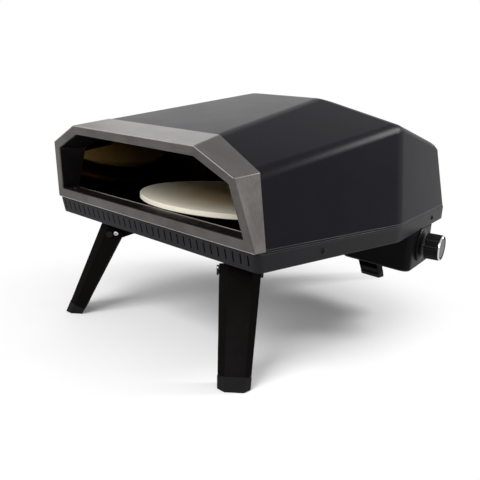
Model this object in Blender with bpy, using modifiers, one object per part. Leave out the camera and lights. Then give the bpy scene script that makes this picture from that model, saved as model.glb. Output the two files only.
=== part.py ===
"""Rotating gas pizza oven, built as separate pieces with real clearances.

Metres, +Z up. Pieces are laid out from the stone's axis and then hung on one
empty, so that the origin lies on the ground under the middle of the whole
oven. The mouth faces -Y and every moving piece has its origin on its joint.
"""
import math

import bmesh
import bpy
from mathutils import Matrix, Vector

MM = 0.001

# Clearances
SEAT = 0.3 * MM
SEAM = 0.6 * MM
RUNNING = 0.3 * MM
OVERRUN = 2.0 * MM
MERGE_DISTANCE = 0.01 * MM

# Place of the stone's axis, from the middle of the whole oven
AXIS_LEFT = 7.37 * MM
AXIS_AHEAD = 134.82 * MM

# Stone
STONE_DIAMETER = 330.0 * MM
STONE_THICKNESS = 8.0 * MM
STONE_RISE = 22.6 * MM
STONE_EDGE = 0.8 * MM
SPIGOT_RADIUS = 12.0 * MM
SPIGOT_HEIGHT = 3.0 * MM

# Body outline in plan, at the seam between base and hood
SEAM_HEIGHT = 202.4 * MM
TRAY_DEPTH = 27.4 * MM
MIDDLE_HALF_WIDTH = 237.4 * MM
FRONT_TUCK = 7.0 * MM
REAR_TUCK = 65.0 * MM
BAND_LEAD = 18.7 * MM
MIDDLE_BEHIND = 147.6 * MM
REAR_LENGTH = 289.4 * MM

# Hood bends, each measured from the bend before it
FRONT_BEND_RISE = 101.2 * MM
FRONT_BEND_TUCK = 24.7 * MM
FRONT_ROOF_STEP = 40.4 * MM
FRONT_ROOF_TUCK = 79.2 * MM
SHOULDER_RISE = 162.1 * MM
SHOULDER_TUCK = 38.7 * MM
SHOULDER_LAG = 30.9 * MM
RIDGE_STEP = 35.6 * MM
RIDGE_TUCK = 123.1 * MM
RIDGE_LEAD = 36.2 * MM
REAR_TOP_DROP = 42.5 * MM
REAR_TOP_TUCK = 17.2 * MM
REAR_TOP_LEAD = 26.0 * MM
HOOD_SHEET = 1.2 * MM
HOOD_BEND = 6.0 * MM
HOOD_BEND_STEPS = 4
HOOD_BEND_DEGREES = 5.0
BAND_LEAN_SHARE = 0.04

# Liner and blanket, as shares of the hood they follow
LINER_WIDTH_SHARE = 0.955
LINER_LENGTH_SHARE = 0.955
LINER_HEIGHT_SHARE = 0.93
LINER_SHEET = 1.0 * MM
LINER_BEND = 6.0 * MM
BLANKET_WIDTH_SHARE = 0.985
BLANKET_LENGTH_SHARE = 0.985
BLANKET_HEIGHT_SHARE = 0.985
BLANKET_THICKNESS = 4.0 * MM

# Bezel, measured from the hood's front edge, and the mouth from the bezel
BEZEL_PROUD = 21.8 * MM
BEZEL_SLANT_SHARE = -0.247
BEZEL_EASE = 0.4 * MM
BEZEL_BEND_TUCK = 22.8 * MM
BEZEL_BEND_DROP = 4.4 * MM
BEZEL_TOP_TUCK = 67.2 * MM
BEZEL_TOP_STEP = 32.3 * MM
MOUTH_TUCK = 18.3 * MM
MOUTH_SILL_RISE = 16.7 * MM
MOUTH_BEND_TUCK = 11.7 * MM
MOUTH_BEND_DROP = 9.4 * MM
MOUTH_TOP_TUCK = 4.5 * MM
MOUTH_TOP_DROP = 13.7 * MM
MOUTH_RETURN_BACK = 5.7 * MM
BEZEL_SHEET = 1.5 * MM
BEZEL_EDGE = 1.4 * MM
BEZEL_BEND_DEGREES = 10.0

# Base tray
TRAY_SHEET = 1.5 * MM
TRAY_STEP = 1.0 * MM
TRAY_FRONT_BACK = 1.5 * MM
TRAY_FRONT_LEAN = 8.0 * MM
TRAY_FLANGE = 26.0 * MM
TRAY_CORNER = 10.0 * MM
TRAY_EDGE = 2.0 * MM
SLOT_COUNT = 32
SLOT_MARGIN = 8.0 * MM
SLOT_WIDTH = 2.6 * MM
SLOT_HEIGHT = 15.0 * MM
SLOT_DROP = 4.3 * MM

# Chamber floor and drive
FLOOR_SHEET = 1.5 * MM
SHAFT_RADIUS = 5.0 * MM
BUSH_WALL = 5.0 * MM
BUSH_LENGTH = 8.0 * MM
BUSH_FLANGE_RADIUS = 14.0 * MM
BUSH_FLANGE = 1.8 * MM
TURNTABLE_TUCK = 15.0 * MM
TURNTABLE_SHEET = 2.0 * MM
TURNTABLE_HUB_RADIUS = 16.0 * MM
TURNTABLE_WINDOW_RADIUS = 24.0 * MM
TURNTABLE_WINDOW_CENTRE = 90.0 * MM
TURNTABLE_WINDOWS = 6
HUB_ROOF = 2.0 * MM
GEAR_MODULE = 1.0 * MM
GEAR_TEETH = 60
PINION_TEETH = 15
GEAR_FACE = 6.0 * MM
GEAR_LIFT = 7.5 * MM
TOOTH_THICKNESS = 1.25 * MM
TOOTH_ADDENDUM_SHARE = 0.8
TOOTH_DEDENDUM_SHARE = 1.2
TOOTH_FLANK_DEGREES = 20.0
GEAR_COLLAR_RADIUS = 8.0 * MM
PINION_SHAFT_RADIUS = 2.5 * MM
PINION_SHAFT_DEPTH = 6.0 * MM
PINION_HOLE_MARGIN = 2.5 * MM

# Motor and battery housing under the tray
HOUSING_LEFT = 60.0 * MM
HOUSING_RIGHT = 54.0 * MM
HOUSING_HALF_DEPTH = 32.0 * MM
HOUSING_HEIGHT = 35.0 * MM
HOUSING_SHEET = 1.6 * MM
HOUSING_CORNER = 5.0 * MM
MOTOR_RADIUS = 12.5 * MM
MOTOR_HEIGHT = 30.0 * MM
CELL_RADIUS = 7.1 * MM
CELL_LENGTH = 49.0 * MM
CELL_NUB_RADIUS = 2.7 * MM
CELL_NUB_LENGTH = 1.4 * MM
CELL_SPACING = 15.6 * MM
CELL_BAY_MARGIN = 1.6 * MM
DOOR_SHEET = 1.5 * MM
DOOR_LAP = 2.5 * MM
DOOR_RAIL = 1.5 * MM
DOOR_RAIL_LIP = 2.2 * MM
DOOR_GRIP = 1.2 * MM
DOOR_GRIP_INSET = 5.0 * MM
DOOR_GRIP_WIDTH = 3.0 * MM
DOOR_GRIP_MARGIN = 3.0 * MM
SWITCH_WIDTH = 9.0 * MM
SWITCH_LENGTH = 16.0 * MM
SWITCH_PROUD = 3.0 * MM
SWITCH_DEPTH = 4.0 * MM
SWITCH_GAP = 0.7 * MM
SWITCH_AHEAD = 20.0 * MM
SWITCH_TILT_DEGREES = 8.0

# Burner and ignition
BURNER_RADIUS = 10.5 * MM
BURNER_WALL = 1.5 * MM
BURNER_TUCK = 37.4 * MM
BURNER_LIFT = 31.0 * MM
BURNER_PORTS = 14
BURNER_PORT_MARGIN = 16.0 * MM
BURNER_PORT_WIDTH = 3.0 * MM
BURNER_STAND_WIDTH = 10.0 * MM
BURNER_STAND_SHARE = 0.7
PIPE_RADIUS = 4.0 * MM
PIPE_WALL = 1.0 * MM
PIPE_ELBOW = 12.0 * MM
PIPE_ELBOW_STEPS = 5
PIPE_ENTRY = 14.0 * MM
FEED_LEAD = 12.0 * MM
GUARD_LEAD = 54.1 * MM
GUARD_TUCK = 22.4 * MM
GUARD_HEIGHT = 46.0 * MM
GUARD_FOOT = 12.0 * MM
GUARD_SHEET = 1.2 * MM
GUARD_HOLE_RADIUS = 4.0 * MM
GUARD_HOLE_MARGIN = 15.0 * MM
GUARD_HOLE_COLUMNS = 15
GUARD_HOLE_ROWS_SHARES = (0.38, 0.72)
PROBE_RADIUS = 2.2 * MM
PROBE_FLANGE_RADIUS = 6.0 * MM
PROBE_FLANGE = 3.0 * MM
IGNITER_SIDE = 60.0 * MM
IGNITER_HEIGHT = 34.0 * MM
THERMOCOUPLE_HEIGHT = 38.0 * MM
PROBE_AHEAD_OF_BURNER = 18.0 * MM

# Control box and knob
BOX_REACH = 137.3 * MM
BOX_LEAD = 207.0 * MM
BOX_LENGTH = 138.0 * MM
BOX_DROP = 72.5 * MM
BOX_SHEET = 1.5 * MM
BOX_CORNER = 14.0 * MM
BOX_EDGE = 3.0 * MM
KNOB_LAG = 56.1 * MM
KNOB_DROP = 28.0 * MM
KNOB_RADIUS = 24.0 * MM
KNOB_LENGTH = 26.0 * MM
KNOB_TAPER = 0.3 * MM
KNOB_STANDOFF = 12.8 * MM
KNOB_FLUTES = 30
KNOB_FLUTE_DEPTH = 0.7 * MM
KNOB_RING = 2.6 * MM
KNOB_RING_WALL = 1.6 * MM
KNOB_PUSH = 4.0 * MM
PLATE_RADIUS = 31.0 * MM
PLATE_THICKNESS = 3.6 * MM
PLATE_EDGE = 1.2 * MM
PLATE_CROWN_RADIUS = 21.0 * MM
PLATE_CROWN = 7.6 * MM
STEM_RADIUS = 4.0 * MM
STEM_IN_KNOB = 14.0 * MM
VALVE_LENGTH = 50.0 * MM
VALVE_WIDTH = 30.0 * MM
VALVE_HEIGHT = 34.0 * MM
STEM_IN_VALVE = 10.0 * MM
VALVE_EDGE = 2.0 * MM
INLET_TUCK = 47.7 * MM
INLET_RADIUS = 5.0 * MM
INLET_NUT_RADIUS = 9.0 * MM
INLET_NUT = 7.0 * MM
INLET_BARB_RADIUS = 6.2 * MM
INLET_BARB_BACK = 4.5 * MM
INLET_BARB_LENGTH = 1.5 * MM
INLET_LENGTH = 30.0 * MM
INLET_DEPTH = 12.0 * MM
INLET_BORE = 2.5 * MM

# Legs
PIVOT_DROP = 25.0 * MM
FRONT_PIVOT_TUCK = 76.9 * MM
FRONT_PIVOT_BACK = 49.5 * MM
FRONT_LEG_TURN_DEGREES = 45.0
FRONT_SPLAY_DEGREES = 22.2
REAR_PIVOT_LEAD = 18.2 * MM
REAR_SPLAY_DEGREES = 26.0
LEG_TOP_WIDTH = 60.0 * MM
LEG_FOOT_WIDTH = 45.7 * MM
LEG_TOP_DEPTH = 40.0 * MM
LEG_FOOT_DEPTH = 26.5 * MM
LEG_TOP_CHAMFER = 12.5 * MM
LEG_FOOT_CHAMFER = 8.7 * MM
LEG_SHEET = 1.8 * MM
LEG_ABOVE_PIVOT = 11.0 * MM
CAP_HEIGHT = 15.0 * MM
CAP_PROUD = 0.6 * MM
CAP_PLUG = 14.0 * MM
CAP_EDGE = 1.5 * MM
BRACKET_SHEET = 1.8 * MM
BRACKET_INWARD = 50.0 * MM
BRACKET_OUTWARD = 6.5 * MM
BRACKET_INSET = 4.0 * MM
CHEEK_SHARES = ((-0.93, 0.08), (-0.42, -0.14), (-0.08, -0.19), (0.06, -0.18),
                (0.15, -0.12), (0.19, 0), (0.19, 0.12), (0.16, 0.24))
BOLT_RADIUS = 3.0 * MM
BOLT_HEAD_RADIUS = 5.6 * MM
BOLT_HEAD = 3.0 * MM
PIN_RADIUS = 1.8 * MM
PIN_HEAD_RADIUS = 4.2 * MM
PIN_HEAD = 4.0 * MM
PIN_ABOVE_PIVOT = 6.5 * MM
PIN_INWARD = 9.5 * MM
PIN_NOSE = 2.2 * MM
PIN_SLOT_EASE = 0.5 * MM
PIN_SLOT_STEPS = 12
FRONT_FOLD_DEGREES = 84.0
REAR_FOLD_DEGREES = 96.0

# Screws
SCREW_HEAD_RADIUS = 4.0 * MM
SCREW_HEAD = 2.2 * MM
HEAD_DOME_SHARE = 0.65
HEAD_EDGE_SHARE = 0.55
SCREW_RADIUS = 1.8 * MM
SCREW_LENGTH = 6.0 * MM
SILL_SCREW_TUCK = 13.7 * MM
SILL_SCREW_BACK = 13.0 * MM
SIDE_SCREW_AHEAD = 60.0 * MM
REAR_SCREW_LEAD = 87.0 * MM

# Fineness of the round and softened forms
SMALL_STEPS = 16
ROUND_STEPS = 24
FINE_STEPS = 48
STONE_STEPS = 96
PERFORATION_SIDES = 8
SOFT_STEPS = 2
CORNER_STEPS = 4
SHARP_DEGREES = 30.0

MATERIALS = {
    "hood_black": ((0.035, 0.035, 0.037), 0.35, 0.42),
    "bezel_grey": ((0.16, 0.15, 0.14), 0.8, 0.35),
    "tray_black": ((0.03, 0.03, 0.03), 0.3, 0.55),
    "enamel": ((0.012, 0.012, 0.012), 0.0, 0.12),
    "fibre": ((0.75, 0.74, 0.7), 0.0, 0.9),
    "steel": ((0.5, 0.5, 0.5), 1.0, 0.35),
    "stone": ((0.72, 0.66, 0.52), 0.0, 0.85),
    "brass": ((0.62, 0.45, 0.2), 1.0, 0.3),
    "ceramic": ((0.85, 0.84, 0.8), 0.0, 0.4),
    "leg_black": ((0.01, 0.01, 0.01), 0.1, 0.18),
    "rubber": ((0.02, 0.02, 0.02), 0.0, 0.7),
    "plastic": ((0.02, 0.02, 0.02), 0.0, 0.45),
    "chrome": ((0.75, 0.75, 0.75), 1.0, 0.12),
    "face_grey": ((0.32, 0.32, 0.33), 0.7, 0.35),
    "nylon": ((0.8, 0.8, 0.76), 0.0, 0.5),
    "cell_jacket": ((0.12, 0.2, 0.32), 0.0, 0.35),
}

# Derived outline of the body and its hood
BASE_BOTTOM = SEAM_HEIGHT - TRAY_DEPTH
BAND_AHEAD = STONE_DIAMETER / 2 + BAND_LEAD
FRONT_HALF_WIDTH = MIDDLE_HALF_WIDTH - FRONT_TUCK
REAR_HALF_WIDTH = MIDDLE_HALF_WIDTH - REAR_TUCK
REAR_BEHIND = MIDDLE_BEHIND + REAR_LENGTH
FRONT_BEND_HALF_WIDTH = FRONT_HALF_WIDTH - FRONT_BEND_TUCK
FRONT_ROOF_HALF_WIDTH = FRONT_BEND_HALF_WIDTH - FRONT_ROOF_TUCK
FRONT_ROOF_RISE = FRONT_BEND_RISE + FRONT_ROOF_STEP
SHOULDER_HALF_WIDTH = MIDDLE_HALF_WIDTH - SHOULDER_TUCK
SHOULDER_BEHIND = MIDDLE_BEHIND + SHOULDER_LAG
RIDGE_HALF_WIDTH = SHOULDER_HALF_WIDTH - RIDGE_TUCK
RIDGE_RISE = SHOULDER_RISE + RIDGE_STEP
RIDGE_BEHIND = MIDDLE_BEHIND - RIDGE_LEAD
REAR_TOP_HALF_WIDTH = REAR_HALF_WIDTH - REAR_TOP_TUCK
REAR_TOP_RISE = SHOULDER_RISE - REAR_TOP_DROP
REAR_TOP_BEHIND = REAR_BEHIND - REAR_TOP_LEAD

# Derived bezel and mouth
BEZEL_AHEAD = BAND_AHEAD + BEZEL_PROUD
BEZEL_HALF_WIDTH = FRONT_HALF_WIDTH - BEZEL_EASE
BEZEL_BEND_HALF_WIDTH = BEZEL_HALF_WIDTH - BEZEL_BEND_TUCK
BEZEL_BEND_RISE = FRONT_BEND_RISE - BEZEL_BEND_DROP
BEZEL_TOP_HALF_WIDTH = BEZEL_BEND_HALF_WIDTH - BEZEL_TOP_TUCK
BEZEL_TOP_RISE = BEZEL_BEND_RISE + BEZEL_TOP_STEP
MOUTH_HALF_WIDTH = BEZEL_HALF_WIDTH - MOUTH_TUCK
MOUTH_BEND_HALF_WIDTH = BEZEL_BEND_HALF_WIDTH - MOUTH_BEND_TUCK
MOUTH_BEND_RISE = BEZEL_BEND_RISE - MOUTH_BEND_DROP
MOUTH_TOP_HALF_WIDTH = BEZEL_TOP_HALF_WIDTH - MOUTH_TOP_TUCK
MOUTH_TOP_RISE = BEZEL_TOP_RISE - MOUTH_TOP_DROP
MOUTH_RETURN_AHEAD = BAND_AHEAD - MOUTH_RETURN_BACK

# Derived tray, floor and drive
TRAY_FRONT_TOP_AHEAD = BEZEL_AHEAD - TRAY_FRONT_BACK
TRAY_FRONT_BOTTOM_AHEAD = TRAY_FRONT_TOP_AHEAD - TRAY_FRONT_LEAN
TRAY_TOP = SEAM_HEIGHT - SEAT
TRAY_FLOOR = BASE_BOTTOM + TRAY_SHEET
SLOT_PITCH = (FRONT_HALF_WIDTH - SLOT_MARGIN) * 2 / SLOT_COUNT
FLOOR_BOTTOM = SEAM_HEIGHT
FLOOR_TOP = FLOOR_BOTTOM + FLOOR_SHEET
LINER_BOTTOM = FLOOR_TOP + SEAT
STONE_TOP = SEAM_HEIGHT + STONE_RISE
STONE_BOTTOM = STONE_TOP - STONE_THICKNESS
TURNTABLE_RADIUS = STONE_DIAMETER / 2 - TURNTABLE_TUCK
TURNTABLE_TOP = STONE_BOTTOM - SEAT
TURNTABLE_UNDER = TURNTABLE_TOP - TURNTABLE_SHEET
BUSH_SEAT = FLOOR_TOP + SEAT
BUSH_TOP = BUSH_SEAT + BUSH_FLANGE
HUB_BOTTOM = BUSH_TOP + SEAT
SHAFT_BOTTOM = TRAY_FLOOR + SEAT
SHAFT_TOP = TURNTABLE_TOP - HUB_ROOF - SEAT
GEAR_BOTTOM = TRAY_FLOOR + GEAR_LIFT
GEAR_TOP = GEAR_BOTTOM + GEAR_FACE
GEAR_SPACING = GEAR_MODULE * (GEAR_TEETH + PINION_TEETH) / 2
UNDERSIDE = BASE_BOTTOM - SEAT

# Rear facet of the tray, which carries the control box and the knob
TRAY_MIDDLE = (MIDDLE_HALF_WIDTH + TRAY_STEP, MIDDLE_BEHIND)
TRAY_REAR = (REAR_HALF_WIDTH + TRAY_STEP, REAR_BEHIND + TRAY_STEP)
FACET_NORMAL = Vector((REAR_LENGTH + TRAY_STEP, REAR_TUCK, 0)).normalized()
FACET_ALONG = Vector((-REAR_TUCK, REAR_LENGTH + TRAY_STEP, 0)).normalized()


def side_between(near, far, behind):
    """X on the line between two plan points, at a distance behind the axis."""
    share = (behind - near[1]) / (far[1] - near[1])
    return near[0] + (far[0] - near[0]) * share


def facet_side(behind):
    """X of the tray's rear facet at a distance behind the axis."""
    return side_between(TRAY_MIDDLE, TRAY_REAR, behind)


BOX_FRONT_BEHIND = REAR_BEHIND - BOX_LEAD
BOX_REAR_BEHIND = BOX_FRONT_BEHIND + BOX_LENGTH
BOX_BOTTOM = BASE_BOTTOM - BOX_DROP
KNOB_BEHIND = BOX_FRONT_BEHIND + KNOB_LAG
KNOB_HEIGHT = BASE_BOTTOM - KNOB_DROP
KNOB_SIDE = facet_side(KNOB_BEHIND)
KNOB_SEAT = Vector((KNOB_SIDE, KNOB_BEHIND, KNOB_HEIGHT))
BOX_LEFT = KNOB_SIDE - BOX_REACH
INLET_SIDE = KNOB_SIDE - INLET_TUCK
VALVE_CENTRE = KNOB_SEAT - FACET_NORMAL * (BOX_SHEET + SEAT + VALVE_LENGTH / 2)

# Derived housing and burner
HOUSING_BOTTOM = UNDERSIDE - HOUSING_HEIGHT
MOTOR_TOP = UNDERSIDE
DOOR_TOP = HOUSING_BOTTOM - SEAT
CELL_HEIGHT = HOUSING_BOTTOM + CELL_RADIUS
CELL_BAY_HALF = (CELL_SPACING + CELL_BAY_MARGIN) / 2 + CELL_RADIUS
CELL_BAY_CENTRE = DOOR_RAIL + RUNNING + DOOR_LAP + CELL_BAY_HALF - HOUSING_LEFT
BURNER_HEIGHT = FLOOR_TOP + BURNER_LIFT
BURNER_HALF_LENGTH = REAR_HALF_WIDTH - BURNER_TUCK
BURNER_PORT_PITCH = (BURNER_HALF_LENGTH - BURNER_PORT_MARGIN) * 2 / BURNER_PORTS
GUARD_BEHIND = KNOB_BEHIND - GUARD_LEAD
GUARD_HALF_WIDTH = REAR_HALF_WIDTH - GUARD_TUCK
GUARD_HOLE_PITCH = (GUARD_HALF_WIDTH - GUARD_HOLE_MARGIN) * 2 / GUARD_HOLE_COLUMNS

# Derived pivots and screws
PIVOT_HEIGHT = BASE_BOTTOM - PIVOT_DROP
FRONT_PIVOT_SIDE = FRONT_HALF_WIDTH - FRONT_PIVOT_TUCK
FRONT_PIVOT_AHEAD = TRAY_FRONT_BOTTOM_AHEAD - FRONT_PIVOT_BACK
REAR_PIVOT_BEHIND = REAR_BEHIND - REAR_PIVOT_LEAD
SILL_SCREW_SIDE = MOUTH_HALF_WIDTH - SILL_SCREW_TUCK
SILL_SCREW_AHEAD = BEZEL_AHEAD - SILL_SCREW_BACK
REAR_SCREW_BEHIND = REAR_BEHIND - REAR_SCREW_LEAD


def clear_scene():
    for obj in list(bpy.data.objects):
        bpy.data.objects.remove(obj, do_unlink=True)


def make_collection(name):
    collection = bpy.data.collections.new(name)
    bpy.context.scene.collection.children.link(collection)
    return collection


def make_material(name):
    colour, metallic, roughness = MATERIALS[name]
    material = bpy.data.materials.new(name)
    material.use_nodes = True
    shader = material.node_tree.nodes["Principled BSDF"]
    shader.inputs["Base Color"].default_value = (*colour, 1)
    shader.inputs["Metallic"].default_value = metallic
    shader.inputs["Roughness"].default_value = roughness
    material.diffuse_color = (*colour, 1)
    return material


clear_scene()
PARTS = make_collection("rotating_pizza_oven")
CUTTERS = make_collection("cutters")


def add_object(name, mesh, look=None, matrix=None):
    """Link a mesh as a part with its own material, or as a hidden cutter."""
    obj = bpy.data.objects.new(name, mesh)
    if look is None:
        CUTTERS.objects.link(obj)
        obj.hide_render = True
        obj.display_type = "WIRE"
    else:
        PARTS.objects.link(obj)
        material = make_material(look)
        material.name = name + "_" + look
        mesh.materials.append(material)
    if matrix is not None:
        obj.matrix_world = matrix
    return obj


def mesh_from(name, points, faces):
    """A mesh of listed points and faces, with its normals made consistent."""
    mesh = bpy.data.meshes.new(name)
    body = bmesh.new()
    verts = [body.verts.new(p) for p in points]
    for face in faces:
        body.faces.new([verts[i] for i in face])
    bmesh.ops.recalc_face_normals(body, faces=body.faces)
    body.to_mesh(mesh)
    body.free()
    return mesh


def loft(name, rings, look=None, matrix=None, closed=True, capped=True):
    """Skin a stack of rings that all have the same number of points."""
    count = len(rings[0])
    points = [p for ring in rings for p in ring]
    faces = []
    for level in range(len(rings) - 1):
        for i in range(count if closed else count - 1):
            j = (i + 1) % count
            low = level * count
            faces.append((low + i, low + j, low + count + j, low + count + i))
    if capped:
        faces.append(tuple(reversed(range(count))))
        faces.append(tuple(range(len(points) - count, len(points))))
    return add_object(name, mesh_from(name, points, faces), look, matrix)


def prism(name, outline, bottom, top, look=None, matrix=None):
    """Extrude a flat outline between two heights."""
    rings = [[(x, y, z) for x, y in outline] for z in (bottom, top)]
    return loft(name, rings, look, matrix)


def block(name, low, high, look=None, matrix=None):
    outline = [(low[0], low[1]), (high[0], low[1]), (high[0], high[1]), (low[0], high[1])]
    return prism(name, outline, low[2], high[2], look, matrix)


BLOCK_FACES = ((3, 2, 1, 0), (4, 5, 6, 7), (0, 1, 5, 4), (1, 2, 6, 5), (2, 3, 7, 6), (3, 0, 4, 7))


def bar_row(name, count, pitch, width, low, high):
    """Equal bars side by side along X, between two pairs of Y and Z, as one cutter."""
    points = []
    faces = []
    for index in range(count):
        left = (index - (count - 1) / 2) * pitch - width / 2
        right = left + width
        faces += [[len(points) + i for i in face] for face in BLOCK_FACES]
        for z in (low[1], high[1]):
            points += [(left, low[0], z), (right, low[0], z), (right, high[0], z), (left, high[0], z)]
    return add_object(name, mesh_from(name, points, faces))


def turned(name, profile, look=None, matrix=None, steps=ROUND_STEPS):
    """Spin a profile of radius and height, listed from top to bottom, round Z."""
    mesh = bpy.data.meshes.new(name)
    points = [(radius, 0, height) for radius, height in profile]
    closed = profile[0][0] > 0
    links = [(i, i + 1) for i in range(len(points) - 1)]
    if closed:
        links.append((len(points) - 1, 0))
    mesh.from_pydata(points, links, [])
    obj = add_object(name, mesh, look, matrix)
    spin = obj.modifiers.new("spin", "SCREW")
    spin.angle = math.tau
    spin.steps = steps
    spin.render_steps = steps
    spin.use_merge_vertices = True
    spin.merge_threshold = MERGE_DISTANCE
    spin.use_smooth_shade = True
    return obj


def rod(name, radius, bottom, top, look=None, matrix=None, steps=ROUND_STEPS):
    profile = [(0, top), (radius, top), (radius, bottom), (0, bottom)]
    return turned(name, profile, look, matrix, steps)


def face_outward(obj, side, facing):
    """Flip an open sheet unless its outermost face on a side faces as asked."""
    body = bmesh.new()
    body.from_mesh(obj.data)
    side = Vector(side)
    for face in body.faces:
        face.normal_update()
    outermost = max(body.faces, key=lambda f: f.calc_center_median().dot(side))
    if outermost.normal.dot(Vector(facing)) < 0:
        bmesh.ops.reverse_faces(body, faces=body.faces)
    body.to_mesh(obj.data)
    body.free()


def solidify(obj, thickness):
    shell = obj.modifiers.new("sheet", "SOLIDIFY")
    shell.thickness = thickness
    shell.offset = -1
    shell.use_even_offset = True
    shell.use_quality_normals = True


def bevel(obj, width, segments=SOFT_STEPS, degrees=SHARP_DEGREES):
    edge = obj.modifiers.new("bend", "BEVEL")
    edge.width = width
    edge.segments = segments
    edge.limit_method = "ANGLE"
    edge.angle_limit = math.radians(degrees)
    edge.use_clamp_overlap = True


def bevel_upright(obj, width, segments):
    """Round only the edges that climb."""
    weights = obj.data.attributes.new("bevel_weight_edge", "FLOAT", "EDGE")
    for edge in obj.data.edges:
        first, second = (obj.data.vertices[i].co for i in edge.vertices)
        weights.data[edge.index].value = float(abs(first.z - second.z) > MERGE_DISTANCE)
    edge = obj.modifiers.new("corner", "BEVEL")
    edge.width = width
    edge.segments = segments
    edge.limit_method = "WEIGHT"


def combine(obj, other, operation):
    step = obj.modifiers.new(operation.lower(), "BOOLEAN")
    step.operation = operation
    step.solver = "EXACT"
    step.object = other


def cut(obj, *tools):
    for tool in tools:
        combine(obj, tool, "DIFFERENCE")


def fuse(obj, *others):
    for other in others:
        combine(obj, other, "UNION")


def frame_matrix(origin, x_axis, y_axis, z_axis):
    """A placement from its origin and three unit axes."""
    matrix = Matrix((x_axis, y_axis, z_axis)).transposed().to_4x4()
    matrix.translation = origin
    return matrix


def along(origin, direction):
    """A placement whose Z axis points along a direction."""
    turn = Vector((0, 0, 1)).rotation_difference(direction)
    return Matrix.Translation(origin) @ turn.to_matrix().to_4x4()


def mirrored(half):
    """A whole plan outline from its right-hand points."""
    return half + [(-x, y) for x, y in reversed(half)]


def offset_outline(outline, inset):
    """Move every side of a counter-clockwise outline inward."""
    moved = []
    count = len(outline)
    for i in range(count):
        here = Vector(outline[i])
        before = (here - Vector(outline[i - 1])).normalized()
        after = (Vector(outline[(i + 1) % count]) - here).normalized()
        first = Vector((-before.y, before.x))
        second = Vector((-after.y, after.x))
        corner = (first + second) / (1 + first.dot(second))
        moved.append(tuple(here + corner * inset))
    return moved


# Hood, liner and blanket share one faceted shape

def shell_sides(width_share, length_share, height_share, front_ahead, bottom):
    """Right-hand points of the faceted shell, from front to rear."""
    def place(half_width, behind, rise):
        y = -BAND_AHEAD + (behind + BAND_AHEAD) * length_share
        return Vector((half_width * width_share, y, SEAM_HEIGHT + rise * height_share))

    def front(half_width, rise):
        y = BAND_LEAN_SHARE * rise - front_ahead
        return Vector((half_width * width_share, y, SEAM_HEIGHT + rise * height_share))

    points = {
        "front_bottom": front(FRONT_HALF_WIDTH, 0),
        "front_bend": front(FRONT_BEND_HALF_WIDTH, FRONT_BEND_RISE),
        "front_roof": front(FRONT_ROOF_HALF_WIDTH, FRONT_ROOF_RISE),
        "ridge": place(RIDGE_HALF_WIDTH, RIDGE_BEHIND, RIDGE_RISE),
        "shoulder": place(SHOULDER_HALF_WIDTH, SHOULDER_BEHIND, SHOULDER_RISE),
        "middle": place(MIDDLE_HALF_WIDTH, MIDDLE_BEHIND, 0),
        "rear_top": place(REAR_TOP_HALF_WIDTH, REAR_TOP_BEHIND, REAR_TOP_RISE),
        "rear_bottom": place(REAR_HALF_WIDTH, REAR_BEHIND, 0),
    }
    for name in ("front_bottom", "middle", "rear_bottom"):
        points[name].z = bottom
    return points


SHELL_FACES = (
    ("front_bottom", "middle", "shoulder", "front_bend"),
    ("front_bend", "shoulder", "ridge", "front_roof"),
    ("middle", "rear_bottom", "rear_top", "shoulder"),
    ("shoulder", "rear_top", "ridge"),
)
SHELL_CROSS_FACES = (
    ("front_roof", "ridge"),
    ("ridge", "rear_top"),
    ("rear_top", "rear_bottom"),
)


def faceted_shell(name, look, sides, bend, segments, sheet):
    names = list(sides)
    right = [sides[n] for n in names]
    left = [Vector((-p.x, p.y, p.z)) for p in right]
    count = len(names)
    spot = {n: i for i, n in enumerate(names)}
    faces = []
    for face in SHELL_FACES:
        faces.append([spot[n] for n in face])
        faces.append([spot[n] + count for n in reversed(face)])
    for near, far in SHELL_CROSS_FACES:
        faces.append([spot[near], spot[far], spot[far] + count, spot[near] + count])
    obj = add_object(name, mesh_from(name, right + left, faces), look)
    face_outward(obj, (0, 0, 1), (0, 0, 1))
    bevel(obj, bend, segments, HOOD_BEND_DEGREES)
    solidify(obj, sheet)
    foot = sides["middle"].z
    wide = MIDDLE_HALF_WIDTH + OVERRUN
    cut(obj, block(name + "_trim", (-wide, -BEZEL_AHEAD, foot - BLANKET_THICKNESS),
                   (wide, REAR_BEHIND + OVERRUN, foot)))


def build_body():
    hood = shell_sides(1, 1, 1, BAND_AHEAD - SEAM, SEAM_HEIGHT)
    faceted_shell("hood", "hood_black", hood, HOOD_BEND, HOOD_BEND_STEPS, HOOD_SHEET)
    liner = shell_sides(LINER_WIDTH_SHARE, LINER_LENGTH_SHARE, LINER_HEIGHT_SHARE,
                        MOUTH_RETURN_AHEAD - SEAM, LINER_BOTTOM)
    drop = (MOUTH_HALF_WIDTH - MOUTH_BEND_HALF_WIDTH) / (MOUTH_BEND_RISE - MOUTH_SILL_RISE)
    foot_half_width = MOUTH_HALF_WIDTH + drop * (SEAM_HEIGHT + MOUTH_SILL_RISE - LINER_BOTTOM)
    mouth = {"front_bottom": (foot_half_width, LINER_BOTTOM - SEAM_HEIGHT),
             "front_bend": (MOUTH_BEND_HALF_WIDTH, MOUTH_BEND_RISE),
             "front_roof": (MOUTH_TOP_HALF_WIDTH, MOUTH_TOP_RISE)}
    for name, (half_width, rise) in mouth.items():
        liner[name] = Vector((half_width, SEAM - MOUTH_RETURN_AHEAD, SEAM_HEIGHT + rise))
    faceted_shell("liner", "enamel", liner, LINER_BEND, SOFT_STEPS, LINER_SHEET)
    blanket = shell_sides(BLANKET_WIDTH_SHARE, BLANKET_LENGTH_SHARE, BLANKET_HEIGHT_SHARE,
                          MOUTH_RETURN_AHEAD - SEAM - OVERRUN, LINER_BOTTOM)
    faceted_shell("insulation", "fibre", blanket, HOOD_BEND, SOFT_STEPS, BLANKET_THICKNESS)


# Bezel

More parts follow.
